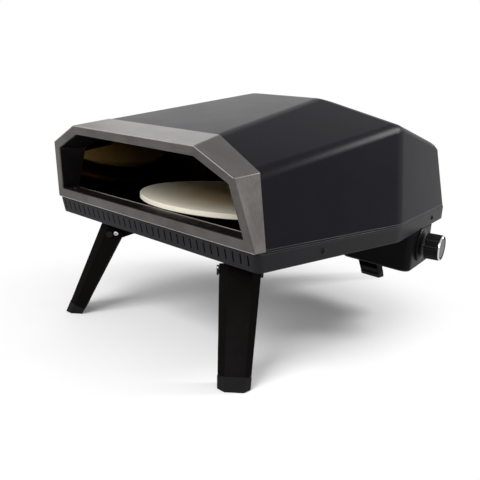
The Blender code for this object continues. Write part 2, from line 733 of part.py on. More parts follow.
def bezel_ring(levels, front):
    """Six points round the mouth, from half widths and rises."""
    ring = []
    for half_width, rise in levels:
        ring.append((half_width, front(rise), SEAM_HEIGHT + rise))
    return ring + [(-x, y, z) for x, y, z in reversed(ring)]


def build_bezel():
    outer = ((BEZEL_HALF_WIDTH, 0), (BEZEL_BEND_HALF_WIDTH, BEZEL_BEND_RISE),
             (BEZEL_TOP_HALF_WIDTH, BEZEL_TOP_RISE))
    band = ((FRONT_HALF_WIDTH, 0), (FRONT_BEND_HALF_WIDTH, FRONT_BEND_RISE),
            (FRONT_ROOF_HALF_WIDTH, FRONT_ROOF_RISE))
    mouth = ((MOUTH_HALF_WIDTH, MOUTH_SILL_RISE), (MOUTH_BEND_HALF_WIDTH, MOUTH_BEND_RISE),
             (MOUTH_TOP_HALF_WIDTH, MOUTH_TOP_RISE))

    def slanted(rise):
        return BEZEL_SLANT_SHARE * rise - BEZEL_AHEAD

    rings = [
        bezel_ring(band, lambda rise: BAND_LEAN_SHARE * rise - BAND_AHEAD),
        bezel_ring(outer, slanted),
        bezel_ring(mouth, slanted),
        bezel_ring(mouth, lambda rise: -MOUTH_RETURN_AHEAD),
    ]
    bezel = loft("bezel", rings, "bezel_grey", capped=False)
    face_outward(bezel, (0, -1, 0), (0, -1, 0))
    bevel(bezel, BEZEL_EDGE, SOFT_STEPS, BEZEL_BEND_DEGREES)
    solidify(bezel, BEZEL_SHEET)
    for side, tag in ((-1, "left"), (1, "right")):
        spot = Vector((side * SILL_SCREW_SIDE, -SILL_SCREW_AHEAD, SEAM_HEIGHT + MOUTH_SILL_RISE))
        hole = rod("sill_hole_" + tag, SCREW_RADIUS + RUNNING, -SCREW_LENGTH, OVERRUN,
                   matrix=Matrix.Translation(spot))
        cut(bezel, hole)
        screw("sill_screw_" + tag, spot, Vector((0, 0, 1)))


def screw(name, seat, direction):
    """A pan-head screw standing out of its seat along a direction."""
    dome = SCREW_HEAD_RADIUS * HEAD_DOME_SHARE
    edge = SEAT + SCREW_HEAD * HEAD_EDGE_SHARE
    profile = [(0, SEAT + SCREW_HEAD), (dome, SEAT + SCREW_HEAD),
               (SCREW_HEAD_RADIUS, edge), (SCREW_HEAD_RADIUS, SEAT),
               (SCREW_RADIUS, SEAT), (SCREW_RADIUS, -SCREW_LENGTH), (0, -SCREW_LENGTH)]
    turned(name, profile, "steel", along(seat, direction), SMALL_STEPS)


# Base tray

def tray_half(front_ahead):
    """Right-hand points of the tray in plan, from front to rear."""
    return [(FRONT_HALF_WIDTH + TRAY_STEP, -front_ahead), TRAY_MIDDLE, TRAY_REAR]


def build_tray():
    top = mirrored(tray_half(TRAY_FRONT_TOP_AHEAD))
    rings = [
        [(x, y, BASE_BOTTOM) for x, y in mirrored(tray_half(TRAY_FRONT_BOTTOM_AHEAD))],
        [(x, y, TRAY_TOP) for x, y in top],
        [(x, y, TRAY_TOP) for x, y in offset_outline(top, TRAY_FLANGE)],
    ]
    points = [p for ring in rings for p in ring]
    count = len(top)
    faces = [tuple(reversed(range(count)))]
    for level in range(2):
        for i in range(count):
            j = (i + 1) % count
            low = level * count
            faces.append((low + i, low + j, low + count + j, low + count + i))
    tray = add_object("base_tray", mesh_from("base_tray", points, faces), "tray_black")
    face_outward(tray, (0, 0, -1), (0, 0, -1))
    bevel_upright(tray, TRAY_CORNER, CORNER_STEPS)
    bevel(tray, TRAY_EDGE)
    solidify(tray, TRAY_SHEET)
    slot_top = TRAY_TOP - SLOT_DROP
    cut(tray, bar_row("vent_slots", SLOT_COUNT, SLOT_PITCH, SLOT_WIDTH,
                      (-TRAY_FRONT_TOP_AHEAD - OVERRUN, slot_top - SLOT_HEIGHT),
                      (OVERRUN - TRAY_FRONT_BOTTOM_AHEAD, slot_top)))
    pinion_hole = rod("pinion_hole", PINION_SHAFT_RADIUS + PINION_HOLE_MARGIN, UNDERSIDE - OVERRUN,
                      TRAY_FLOOR + OVERRUN, matrix=Matrix.Translation((GEAR_SPACING, 0, 0)))
    riser_hole = rod("riser_hole", PIPE_RADIUS + OVERRUN, UNDERSIDE - OVERRUN, TRAY_TOP + OVERRUN,
                     matrix=Matrix.Translation((VALVE_CENTRE.x, VALVE_CENTRE.y, 0)))
    cut(tray, pinion_hole, riser_hole)
    fasten_sides(tray)


def fasten_sides(tray):
    """One screw in each long side of the tray and one in each rear facet."""
    height = (BASE_BOTTOM + TRAY_TOP) / 2
    front, middle, rear = tray_half(TRAY_FRONT_TOP_AHEAD)
    spots = (("side_screw_", front, middle, -SIDE_SCREW_AHEAD),
             ("rear_screw_", middle, rear, REAR_SCREW_BEHIND))
    for name, near, far, behind in spots:
        along_side = Vector(far) - Vector(near)
        out = Vector((along_side.y, -along_side.x, 0)).normalized()
        reach = side_between(near, far, behind)
        for side, tag in ((-1, "left"), (1, "right")):
            seat = Vector((side * reach, behind, height))
            facing = Vector((side * out.x, out.y, 0))
            hole = rod(name + "hole_" + tag, SCREW_RADIUS + RUNNING, -SCREW_LENGTH, OVERRUN,
                       matrix=along(seat, facing))
            cut(tray, hole)
            screw(name + tag, seat, facing)


# Chamber floor

def build_floor():
    front = MOUTH_RETURN_AHEAD - SEAM
    outline = mirrored([(FRONT_HALF_WIDTH, -front), (MIDDLE_HALF_WIDTH, MIDDLE_BEHIND),
                        (REAR_HALF_WIDTH, REAR_BEHIND)])
    inner = offset_outline(outline, HOOD_SHEET + SEAM)
    inner = [(x, max(y, -front)) for x, y in inner]
    floor = prism("floor_plate", inner, FLOOR_BOTTOM, FLOOR_TOP, "enamel")
    bevel_upright(floor, HOOD_BEND, SOFT_STEPS)
    low = FLOOR_BOTTOM - OVERRUN
    high = FLOOR_TOP + OVERRUN
    bush_hole = rod("bush_hole", SHAFT_RADIUS + BUSH_WALL + RUNNING, low, high)
    riser_hole = rod("floor_riser_hole", PIPE_RADIUS + OVERRUN, low, high,
                     matrix=Matrix.Translation((VALVE_CENTRE.x, VALVE_CENTRE.y, 0)))
    cut(floor, bush_hole, riser_hole)


# Stone and its drive

def build_stone():
    radius = STONE_DIAMETER / 2
    socket = SPIGOT_RADIUS + RUNNING
    roof = STONE_BOTTOM + SPIGOT_HEIGHT + SEAT
    profile = [(0, STONE_TOP), (radius - STONE_EDGE, STONE_TOP), (radius, STONE_TOP - STONE_EDGE),
               (radius, STONE_BOTTOM + STONE_EDGE), (radius - STONE_EDGE, STONE_BOTTOM),
               (socket, STONE_BOTTOM), (socket, roof), (0, roof)]
    turned("stone", profile, "stone", steps=STONE_STEPS)


def build_turntable():
    bore = SHAFT_RADIUS + RUNNING
    roof = TURNTABLE_TOP - HUB_ROOF
    profile = [(0, TURNTABLE_TOP + SPIGOT_HEIGHT), (SPIGOT_RADIUS, TURNTABLE_TOP + SPIGOT_HEIGHT),
               (SPIGOT_RADIUS, TURNTABLE_TOP), (TURNTABLE_RADIUS, TURNTABLE_TOP),
               (TURNTABLE_RADIUS, TURNTABLE_UNDER), (TURNTABLE_HUB_RADIUS, TURNTABLE_UNDER),
               (TURNTABLE_HUB_RADIUS, HUB_BOTTOM), (bore, HUB_BOTTOM), (bore, roof), (0, roof)]
    plate = turned("turntable", profile, "steel", steps=FINE_STEPS)
    for index in range(TURNTABLE_WINDOWS):
        angle = math.tau * index / TURNTABLE_WINDOWS
        spot = Vector((math.cos(angle), math.sin(angle), 0)) * TURNTABLE_WINDOW_CENTRE
        window = rod("window_%d" % index, TURNTABLE_WINDOW_RADIUS, TURNTABLE_UNDER - OVERRUN,
                     TURNTABLE_TOP + OVERRUN, matrix=Matrix.Translation(spot))
        cut(plate, window)


def gear_outline(teeth, first_gap):
    """Trapezoid teeth round a pitch circle, starting with a gap or a tooth."""
    pitch_radius = GEAR_MODULE * teeth / 2
    tip = pitch_radius + GEAR_MODULE * TOOTH_ADDENDUM_SHARE
    root = pitch_radius - GEAR_MODULE * TOOTH_DEDENDUM_SHARE
    slope = math.tan(math.radians(TOOTH_FLANK_DEGREES))
    outline = []
    for index in range(teeth):
        centre = math.tau * (index + (0.5 if first_gap else 0)) / teeth
        for radius, side in ((root, -1), (tip, -1), (tip, 1), (root, 1)):
            half = TOOTH_THICKNESS / 2 + (pitch_radius - radius) * slope
            angle = centre + side * half / radius
            outline.append((radius * math.cos(angle), radius * math.sin(angle)))
    return outline


def build_drive():
    bore = SHAFT_RADIUS + RUNNING
    collar_top = GEAR_BOTTOM - SEAT
    turned("drive_shaft", [(0, SHAFT_TOP), (SHAFT_RADIUS, SHAFT_TOP), (SHAFT_RADIUS, collar_top),
                           (GEAR_COLLAR_RADIUS, collar_top), (GEAR_COLLAR_RADIUS, SHAFT_BOTTOM),
                           (0, SHAFT_BOTTOM)], "steel")
    gear = prism("output_gear", gear_outline(GEAR_TEETH, True), GEAR_BOTTOM, GEAR_TOP, "nylon")
    cut(gear, rod("gear_bore", bore, GEAR_BOTTOM - OVERRUN, GEAR_TOP + OVERRUN))
    outer = SHAFT_RADIUS + BUSH_WALL
    turned("shaft_bush", [(BUSH_FLANGE_RADIUS, BUSH_TOP), (BUSH_FLANGE_RADIUS, BUSH_SEAT),
                          (outer, BUSH_SEAT), (outer, BUSH_SEAT - BUSH_LENGTH),
                          (bore, BUSH_SEAT - BUSH_LENGTH), (bore, BUSH_TOP)], "brass")
    pinion_place = Matrix.Translation((GEAR_SPACING, 0, 0))
    pinion = prism("motor_pinion", gear_outline(PINION_TEETH, PINION_TEETH % 2 == 1),
                   GEAR_BOTTOM, GEAR_TOP, "nylon", pinion_place)
    shaft = rod("pinion_shaft", PINION_SHAFT_RADIUS, MOTOR_TOP - PINION_SHAFT_DEPTH,
                GEAR_BOTTOM + GEAR_FACE / 2, matrix=pinion_place)
    fuse(pinion, shaft)
    can = rod("motor", MOTOR_RADIUS, MOTOR_TOP - MOTOR_HEIGHT, MOTOR_TOP, "steel", pinion_place)
    bore_floor = MOTOR_TOP - PINION_SHAFT_DEPTH - SEAT
    cut(can, rod("motor_bore", PINION_SHAFT_RADIUS + RUNNING, bore_floor, MOTOR_TOP + OVERRUN,
                 matrix=pinion_place))


# Motor and battery housing

def build_housing():
    low = (-HOUSING_LEFT, -HOUSING_HALF_DEPTH, HOUSING_BOTTOM)
    high = (HOUSING_RIGHT, HOUSING_HALF_DEPTH, UNDERSIDE)
    housing = block("motor_housing", low, high, "plastic")
    bevel_upright(housing, HOUSING_CORNER, SOFT_STEPS)
    inner_low = [v + HOUSING_SHEET for v in low]
    inner_high = (high[0] - HOUSING_SHEET, high[1] - HOUSING_SHEET, high[2] + OVERRUN)
    cut(housing, block("housing_room", inner_low, inner_high))
    bay_x = (CELL_BAY_CENTRE - CELL_BAY_HALF, CELL_BAY_CENTRE + CELL_BAY_HALF)
    bay_y = CELL_LENGTH / 2 + CELL_NUB_LENGTH + CELL_BAY_MARGIN
    cut(housing, block("cell_bay", (bay_x[0], -bay_y, HOUSING_BOTTOM - OVERRUN),
                       (bay_x[1], bay_y, HOUSING_BOTTOM + HOUSING_SHEET + OVERRUN)))
    fuse(housing, block("cell_rib", (bay_x[1], -bay_y, HOUSING_BOTTOM + HOUSING_SHEET / 2),
                        (bay_x[1] + HOUSING_SHEET, bay_y, CELL_HEIGHT + CELL_RADIUS)))
    door_x = (bay_x[0] - DOOR_LAP, bay_x[1] + DOOR_LAP)
    door_y = bay_y + DOOR_LAP
    door_bottom = DOOR_TOP - DOOR_SHEET
    door = block("battery_door", (door_x[0], -door_y, door_bottom),
                 (door_x[1], door_y, DOOR_TOP), "plastic")
    grip_end = door_y - DOOR_GRIP_MARGIN
    fuse(door, block("door_grip",
                     (door_x[0] + DOOR_GRIP_INSET, grip_end - DOOR_GRIP_WIDTH, door_bottom - DOOR_GRIP),
                     (door_x[1] - DOOR_GRIP_INSET, grip_end, door_bottom + DOOR_SHEET / 2)))
    for side, edge in ((-1, door_x[0]), (1, door_x[1])):
        wall = edge + side * RUNNING
        lip_top = door_bottom - SEAT
        web = sorted((wall, wall + side * DOOR_RAIL))
        lip = sorted((edge - side * DOOR_RAIL_LIP, wall + side * DOOR_RAIL))
        tag = "left" if side < 0 else "right"
        fuse(housing,
             block("rail_web_" + tag, (web[0], -door_y, lip_top - DOOR_RAIL),
                   (web[1], door_y, HOUSING_BOTTOM + HOUSING_SHEET / 2)),
             block("rail_lip_" + tag, (lip[0], -door_y, lip_top - DOOR_RAIL), (lip[1], door_y, lip_top)))
    for sign, tag in ((-1, "left"), (1, "right")):
        turn = Matrix.Rotation(math.radians(90 * sign), 4, "X")
        place = Matrix.Translation((CELL_BAY_CENTRE + sign * CELL_SPACING / 2, 0, CELL_HEIGHT)) @ turn
        half = CELL_LENGTH / 2
        turned("battery_" + tag, [(0, half + CELL_NUB_LENGTH), (CELL_NUB_RADIUS, half + CELL_NUB_LENGTH),
                                  (CELL_NUB_RADIUS, half), (CELL_RADIUS, half), (CELL_RADIUS, -half),
                                  (0, -half)], "cell_jacket", place)
    build_switch(housing)


def build_switch(housing):
    """A rocker in the housing's right wall that tilts about Y."""
    height = (HOUSING_BOTTOM + UNDERSIDE) / 2
    wall = HOUSING_RIGHT
    half = SWITCH_LENGTH / 2
    low = -SWITCH_AHEAD - SWITCH_WIDTH / 2
    high = SWITCH_WIDTH / 2 - SWITCH_AHEAD
    window = block("switch_window",
                   (wall - HOUSING_SHEET - OVERRUN, low - SWITCH_GAP, height - half - SWITCH_GAP),
                   (wall + OVERRUN, high + SWITCH_GAP, height + half + SWITCH_GAP))
    cut(housing, window)
    rise = SWITCH_PROUD
    points = [(-SWITCH_DEPTH, -half / 2), (0, -half), (rise, -half), (rise / 2, 0),
              (rise, half), (0, half), (-SWITCH_DEPTH, half / 2)]
    rings = [[(x, y, z) for x, z in points] for y in (-SWITCH_WIDTH / 2, SWITCH_WIDTH / 2)]
    pivot = Matrix.Translation((wall - HOUSING_SHEET / 2, -SWITCH_AHEAD, height))
    tilt = Matrix.Rotation(math.radians(-SWITCH_TILT_DEGREES), 4, "Y")
    loft("motor_switch", rings, "plastic", pivot @ tilt)


# Burner, gas pipe, guard and probes

def build_burner():
    behind = VALVE_CENTRE.y
    place = Matrix.Translation((0, behind, BURNER_HEIGHT)) @ Matrix.Rotation(math.radians(90), 4, "Y")
    inner = BURNER_RADIUS - BURNER_WALL
    tube = rod("burner_tube", BURNER_RADIUS, -BURNER_HALF_LENGTH, BURNER_HALF_LENGTH, "steel", place)
    stands = []
    for sign in (-1, 1):
        x = sign * BURNER_HALF_LENGTH * BURNER_STAND_SHARE
        stands.append(block("burner_stand_%d" % sign,
                            (x - BURNER_STAND_WIDTH / 2, behind - BURNER_STAND_WIDTH / 2, FLOOR_TOP + SEAT),
                            (x + BURNER_STAND_WIDTH / 2, behind + BURNER_STAND_WIDTH / 2,
                             BURNER_HEIGHT - BURNER_RADIUS / 2)))
    fuse(tube, *stands)
    cut(tube, rod("burner_bore", inner, -BURNER_HALF_LENGTH + BURNER_WALL,
                  BURNER_HALF_LENGTH + OVERRUN, matrix=place))
    cut(tube, bar_row("burner_ports", BURNER_PORTS, BURNER_PORT_PITCH, BURNER_PORT_WIDTH,
                      (behind - inner / 2, BURNER_HEIGHT + inner / 2),
                      (behind + inner / 2, BURNER_HEIGHT + BURNER_RADIUS + OVERRUN)))


def pipe_mesh(name, route, radius, look=None):
    """A round pipe along a route, with flat ends."""
    curve = bpy.data.curves.new(name + "_route", "CURVE")
    curve.dimensions = "3D"
    curve.bevel_depth = radius
    curve.bevel_resolution = SOFT_STEPS
    curve.use_fill_caps = True
    spline = curve.splines.new("POLY")
    spline.points.add(len(route) - 1)
    for point, spot in zip(spline.points, route):
        point.co = (*spot, 1)
    source = bpy.data.objects.new(name + "_route", curve)
    CUTTERS.objects.link(source)
    bpy.context.view_layer.update()
    ready = source.evaluated_get(bpy.context.evaluated_depsgraph_get())
    mesh = bpy.data.meshes.new_from_object(ready)
    bpy.data.objects.remove(source, do_unlink=True)
    body = bmesh.new()
    body.from_mesh(mesh)
    bmesh.ops.remove_doubles(body, verts=body.verts, dist=MERGE_DISTANCE)
    bmesh.ops.recalc_face_normals(body, faces=body.faces)
    body.to_mesh(mesh)
    body.free()
    mesh.materials.clear()
    return add_object(name, mesh, look)


def riser_route(low_extra, end_extra):
    """Up from the valve, round an elbow and into the burner's open end."""
    x, y = VALVE_CENTRE.x, VALVE_CENTRE.y
    low = KNOB_HEIGHT + VALVE_HEIGHT / 2 + SEAT - low_extra
    end = BURNER_HALF_LENGTH - PIPE_ENTRY - end_extra
    route = [(x, y, low), (x, y, BURNER_HEIGHT - PIPE_ELBOW)]
    for step in range(1, PIPE_ELBOW_STEPS):
        angle = math.radians(90) * step / PIPE_ELBOW_STEPS
        route.append((x - PIPE_ELBOW * (1 - math.cos(angle)), y,
                      BURNER_HEIGHT - PIPE_ELBOW * (1 - math.sin(angle))))
    return route + [(x - PIPE_ELBOW, y, BURNER_HEIGHT), (end, y, BURNER_HEIGHT)]


def feed_route(extra):
    """From the inlet's inner end to the side of the valve."""
    rearward = Vector((0, 1, 0))
    inlet = Vector((INLET_SIDE, BOX_REAR_BEHIND - INLET_DEPTH - SEAT, KNOB_HEIGHT))
    valve = VALVE_CENTRE + FACET_ALONG * (VALVE_WIDTH / 2 + SEAT)
    return [inlet + rearward * extra, inlet - rearward * FEED_LEAD,
            valve + FACET_ALONG * FEED_LEAD, valve - FACET_ALONG * extra]


def build_gas():
    riser = pipe_mesh("gas_riser", riser_route(0, 0), PIPE_RADIUS, "steel")
    cut(riser, pipe_mesh("riser_bore", riser_route(OVERRUN, OVERRUN), PIPE_RADIUS - PIPE_WALL))
    feed = pipe_mesh("gas_feed", feed_route(0), PIPE_RADIUS, "steel")
    cut(feed, pipe_mesh("feed_bore", feed_route(OVERRUN), PIPE_RADIUS - PIPE_WALL))
    behind = GUARD_BEHIND
    rings = [[(side * GUARD_HALF_WIDTH, y, z) for side in (-1, 1)]
             for y, z in ((behind - GUARD_FOOT, FLOOR_TOP + SEAT + GUARD_SHEET),
                          (behind, FLOOR_TOP + SEAT + GUARD_SHEET), (behind, FLOOR_TOP + GUARD_HEIGHT))]
    points = [p for ring in rings for p in ring]
    faces = [(0, 1, 3, 2), (2, 3, 5, 4)]
    guard = add_object("flame_guard", mesh_from("flame_guard", points, faces), "steel")
    face_outward(guard, (0, 0, -1), (0, 0, 1))
    solidify(guard, GUARD_SHEET)
    cut(guard, guard_holes(behind))
    for name, look, side, height in (("igniter", "ceramic", IGNITER_SIDE, IGNITER_HEIGHT),
                                     ("thermocouple", "steel", -IGNITER_SIDE, THERMOCOUPLE_HEIGHT)):
        spot = Vector((side, VALVE_CENTRE.y - PROBE_AHEAD_OF_BURNER, FLOOR_TOP + SEAT))
        turned(name, [(0, height), (PROBE_RADIUS / 2, height), (PROBE_RADIUS, height - PROBE_RADIUS),
                      (PROBE_RADIUS, PROBE_FLANGE), (PROBE_FLANGE_RADIUS, PROBE_FLANGE),
                      (PROBE_FLANGE_RADIUS, 0), (0, 0)], look, Matrix.Translation(spot), SMALL_STEPS)


def guard_holes(behind):
    points = []
    faces = []
    sides = PERFORATION_SIDES
    for column in range(GUARD_HOLE_COLUMNS):
        x = (column - (GUARD_HOLE_COLUMNS - 1) / 2) * GUARD_HOLE_PITCH
        for share in GUARD_HOLE_ROWS_SHARES:
            z = FLOOR_TOP + GUARD_HEIGHT * share
            start = len(points)
            for y in (behind - OVERRUN - GUARD_SHEET, behind + OVERRUN + GUARD_SHEET):
                for i in range(sides):
                    angle = math.tau * (i + 0.5) / sides
                    points.append((x + GUARD_HOLE_RADIUS * math.cos(angle), y,
                                   z + GUARD_HOLE_RADIUS * math.sin(angle)))
            faces.append([start + i for i in range(sides)])
            faces.append([start + sides + i for i in reversed(range(sides))])
            for i in range(sides):
                j = (i + 1) % sides
                faces.append([start + i, start + sides + i, start + sides + j, start + j])
    return add_object("guard_holes", mesh_from("guard_holes", points, faces))


# Control box, valve and knob

def tub_rings(outline, bottom, top):
    """An outline at three heights, drawn in at the bottom for a slanted lower edge."""
    levels = ((BOX_EDGE, bottom), (0, bottom + BOX_EDGE), (0, top))
    return [[(x, y, z) for x, y in offset_outline(outline, inset)] for inset, z in levels]


def build_control_box():
    corners = [(BOX_LEFT, BOX_FRONT_BEHIND), (facet_side(BOX_FRONT_BEHIND), BOX_FRONT_BEHIND),
               (facet_side(BOX_REAR_BEHIND), BOX_REAR_BEHIND), (BOX_LEFT, BOX_REAR_BEHIND)]
    box = loft("control_box", tub_rings(corners, BOX_BOTTOM, UNDERSIDE), "tray_black")
    bevel_upright(box, BOX_CORNER, CORNER_STEPS)
    inner = offset_outline(corners, BOX_SHEET)
    room = loft("box_room", tub_rings(inner, BOX_BOTTOM + BOX_SHEET, UNDERSIDE + OVERRUN))
    bevel_upright(room, BOX_CORNER - BOX_SHEET, CORNER_STEPS)
    cut(box, room)
    stem_hole = rod("stem_hole", STEM_RADIUS + RUNNING, -BOX_SHEET - OVERRUN, OVERRUN,
                    matrix=along(KNOB_SEAT, FACET_NORMAL))
    inlet = Vector((INLET_SIDE, BOX_REAR_BEHIND, KNOB_HEIGHT))
    inlet_hole = rod("inlet_hole", INLET_RADIUS + RUNNING, -BOX_SHEET - OVERRUN, OVERRUN,
                     matrix=along(inlet, Vector((0, 1, 0))))
    cut(box, stem_hole, inlet_hole)
    nut = SEAT + INLET_NUT
    tip = nut + INLET_LENGTH
    barb = tip - INLET_BARB_BACK
    turned("gas_inlet", [
        (INLET_BORE, tip), (INLET_RADIUS, tip), (INLET_BARB_RADIUS, barb),
        (INLET_RADIUS, barb - INLET_BARB_LENGTH), (INLET_RADIUS, nut), (INLET_NUT_RADIUS, nut),
        (INLET_NUT_RADIUS, SEAT), (INLET_RADIUS, SEAT), (INLET_RADIUS, -INLET_DEPTH),
        (INLET_BORE, -INLET_DEPTH)], "brass", along(inlet, Vector((0, 1, 0))))


def build_valve():
    side = FACET_ALONG
    place = frame_matrix(VALVE_CENTRE, FACET_NORMAL, side, Vector((0, 0, 1)))
    half = Vector((VALVE_LENGTH / 2, VALVE_WIDTH / 2, VALVE_HEIGHT / 2))
    valve = block("gas_valve", -half, half, "brass", place)
    bevel(valve, VALVE_EDGE)
    face = half.x
    turn = place @ Matrix.Rotation(math.radians(90), 4, "Y")
    cut(valve, rod("valve_bore", STEM_RADIUS + RUNNING, face - STEM_IN_VALVE - KNOB_PUSH - OVERRUN,
                   face + OVERRUN, matrix=turn))
    bottom = -BOX_SHEET - SEAT - STEM_IN_VALVE
    top = KNOB_STANDOFF + STEM_IN_KNOB
    rod("valve_stem", STEM_RADIUS, bottom, top, "steel", along(KNOB_SEAT, FACET_NORMAL))
    plate_bore = STEM_RADIUS + RUNNING
    turned("knob_plate", [(plate_bore, SEAT + PLATE_CROWN), (PLATE_CROWN_RADIUS, SEAT + PLATE_CROWN),
                          (PLATE_RADIUS - PLATE_EDGE, SEAT + PLATE_THICKNESS),
                          (PLATE_RADIUS, SEAT + PLATE_THICKNESS - PLATE_EDGE), (PLATE_RADIUS, SEAT),
                          (plate_bore, SEAT)], "plastic", along(KNOB_SEAT, FACET_NORMAL), FINE_STEPS)


def build_knob():
    place = along(KNOB_SEAT, FACET_NORMAL)
    back = KNOB_STANDOFF
    front = back + KNOB_LENGTH
    rings = []
    count = KNOB_FLUTES * 2
    for height, shrink in ((back, 0), (front, KNOB_TAPER)):
        ring = []
        for i in range(count):
            angle = math.tau * i / count
            radius = KNOB_RADIUS - shrink - (KNOB_FLUTE_DEPTH if i % 2 else 0)
            ring.append((radius * math.cos(angle), radius * math.sin(angle), height))
        rings.append(ring)
    knob = loft("knob", rings, "plastic", place)
    cut(knob, rod("knob_bore", STEM_RADIUS + RUNNING, back - OVERRUN,
                  back + STEM_IN_KNOB + SEAT, matrix=place))
    outer = KNOB_RADIUS - KNOB_TAPER - KNOB_FLUTE_DEPTH
    inner = outer - KNOB_RING_WALL
    low = front + SEAT
    high = low + KNOB_RING
    turned("knob_ring", [(inner, high), (outer - KNOB_RING_WALL / 2, high), (outer, high - KNOB_RING / 2),
                         (outer, low), (inner, low)], "chrome", place, FINE_STEPS)
    rod("knob_face", inner - RUNNING, low, high - KNOB_RING / 4, "face_grey", place, FINE_STEPS)


# Legs

def leg_vector(splay, depth, width, down):
    """A point of the leg from its own depth, width and distance below the pivot."""
    c = math.cos(splay)
    s = math.sin(splay)
    return (depth * c + down * s, width, depth * s - down * c)


def leg_size(splay, down):
    """Width, depth and chamfer of the leg at a distance below the pivot."""
    share = down / (PIVOT_HEIGHT / math.cos(splay))
    width = LEG_TOP_WIDTH + (LEG_FOOT_WIDTH - LEG_TOP_WIDTH) * share
    depth = LEG_TOP_DEPTH + (LEG_FOOT_DEPTH - LEG_TOP_DEPTH) * share
    chamfer = LEG_TOP_CHAMFER + (LEG_FOOT_CHAMFER - LEG_TOP_CHAMFER) * share
    return width, depth, chamfer


def channel_path(width, depth, chamfer):
    """The channel's outside, from one flange round the web to the other."""
    half = width / 2
    front = depth / 2
    return [(-front, -half), (front - chamfer, -half), (front, -half + chamfer),
            (front, half - chamfer), (front - chamfer, half), (-front, half)]


def inner_path(width, depth, chamfer, wall):
    """The same path moved inward by a wall on every side."""
    return channel_path(width - wall * 2, depth - wall * 2, chamfer - wall * (2 - math.sqrt(2)))


def ground_drop(splay, depth):
    """How far below the pivot the leg meets the ground, at a given depth."""
    return (PIVOT_HEIGHT + depth * math.sin(splay)) / math.cos(splay)


def build_leg(tag, place, splay, pin_side):
    cap_top = ground_drop(splay, 0) - CAP_HEIGHT / math.cos(splay)
    rings = []
    for down in (-LEG_ABOVE_PIVOT, cap_top - SEAT):
        path = channel_path(*leg_size(splay, down))
        rings.append([leg_vector(splay, d, w, down) for d, w in path])
    leg = loft("leg_" + tag, rings, "leg_black", place, closed=False, capped=False)
    face_outward(leg, (1, 0, 0), (1, 0, 0))
    solidify(leg, LEG_SHEET)
    reach = LEG_TOP_WIDTH
    axis = place @ Matrix.Rotation(math.radians(90), 4, "X")
    cut(leg, rod("bolt_hole_" + tag, BOLT_RADIUS + RUNNING, -reach, reach, matrix=axis))
    pin_spot = Vector(leg_vector(splay, -PIN_INWARD, 0, -PIN_ABOVE_PIVOT))
    out = Matrix.Rotation(math.radians(-90 * pin_side), 4, "X")
    pin_place = place @ Matrix.Translation(pin_spot) @ out
    cut(leg, rod("pin_hole_" + tag, PIN_RADIUS + RUNNING, 0, reach, matrix=pin_place))
    build_cap(tag, place, splay, cap_top)
    build_bracket(tag, place, splay, pin_spot, axis)
    build_fasteners(tag, axis, pin_place, splay)


def build_cap(tag, place, splay, cap_top):
    """A rubber foot that goes on below the channel and plugs into it."""
    width, depth, chamfer = leg_size(splay, cap_top)
    top = channel_path(width + CAP_PROUD * 2, depth + CAP_PROUD * 2, chamfer)
    width, depth, chamfer = leg_size(splay, ground_drop(splay, 0))
    foot = channel_path(width + CAP_PROUD * 2, depth + CAP_PROUD * 2, chamfer)
    sole = channel_path(width - CAP_EDGE, depth - CAP_EDGE, chamfer)
    rings = [
        [leg_vector(splay, d, w, ground_drop(splay, d)) for d, w in sole],
        [leg_vector(splay, d, w, ground_drop(splay, d) - CAP_EDGE) for d, w in foot],
        [leg_vector(splay, d, w, cap_top) for d, w in top],
    ]
    cap = loft("foot_" + tag, rings, "rubber", place)
    plug_rings = []
    for down in (cap_top + CAP_EDGE, cap_top - CAP_PLUG):
        path = inner_path(*leg_size(splay, down), LEG_SHEET + SEAT)
        plug_rings.append([leg_vector(splay, d, w, down) for d, w in path])
    fuse(cap, loft("cap_plug_" + tag, plug_rings, matrix=place))


def bracket_half_width(splay):
    """Half the bracket's width, clear of the flanges along its whole length."""
    return leg_size(splay, BRACKET_INWARD)[0] / 2 - LEG_SHEET - RUNNING - BRACKET_INSET


def build_bracket(tag, place, splay, pin_spot, axis):
    """A folded bracket under the tray, inside the channel's flanges."""
    top = UNDERSIDE - PIVOT_HEIGHT
    fold = top - BRACKET_SHEET
    half = bracket_half_width(splay)
    plate = block("bracket_" + tag, (-BRACKET_INWARD, -half, fold), (BRACKET_OUTWARD, half, top),
                  "tray_black", place)
    outline = [(x * BRACKET_INWARD, z * BRACKET_INWARD) for x, z in CHEEK_SHARES]
    middle = fold + BRACKET_SHEET / 2
    outline = [(-BRACKET_INWARD, middle)] + outline + [(BRACKET_OUTWARD, middle)]
    for side in (-1, 1):
        band = sorted((side * half, side * (half - BRACKET_SHEET)))
        rings = [[(x, y, z) for x, z in outline] for y in band]
        fuse(plate, loft("cheek_%s_%d" % (tag, side), rings, matrix=place))
    cut(plate, rod("bracket_hole_" + tag, BOLT_RADIUS + RUNNING, -LEG_TOP_WIDTH, LEG_TOP_WIDTH,
                   matrix=axis))
    fold_angle = math.radians(REAR_FOLD_DEGREES if tag == "rear" else FRONT_FOLD_DEGREES)
    radius = math.hypot(pin_spot.x, pin_spot.z)
    start = math.atan2(pin_spot.z, pin_spot.x)
    slot_half = PIN_RADIUS + PIN_SLOT_EASE
    spare = slot_half / radius
    arcs = []
    for reach, order in ((radius - slot_half, 1), (radius + slot_half, -1)):
        arc = []
        for i in range(PIN_SLOT_STEPS + 1):
            angle = start + spare - (fold_angle + spare * 2) * i / PIN_SLOT_STEPS
            arc.append((reach * math.cos(angle), reach * math.sin(angle)))
        arcs += arc[::order]
    rings = [[(x, y, z) for x, z in arcs] for y in (-half - OVERRUN, half + OVERRUN)]
    cut(plate, loft("pin_slot_" + tag, rings, matrix=place))


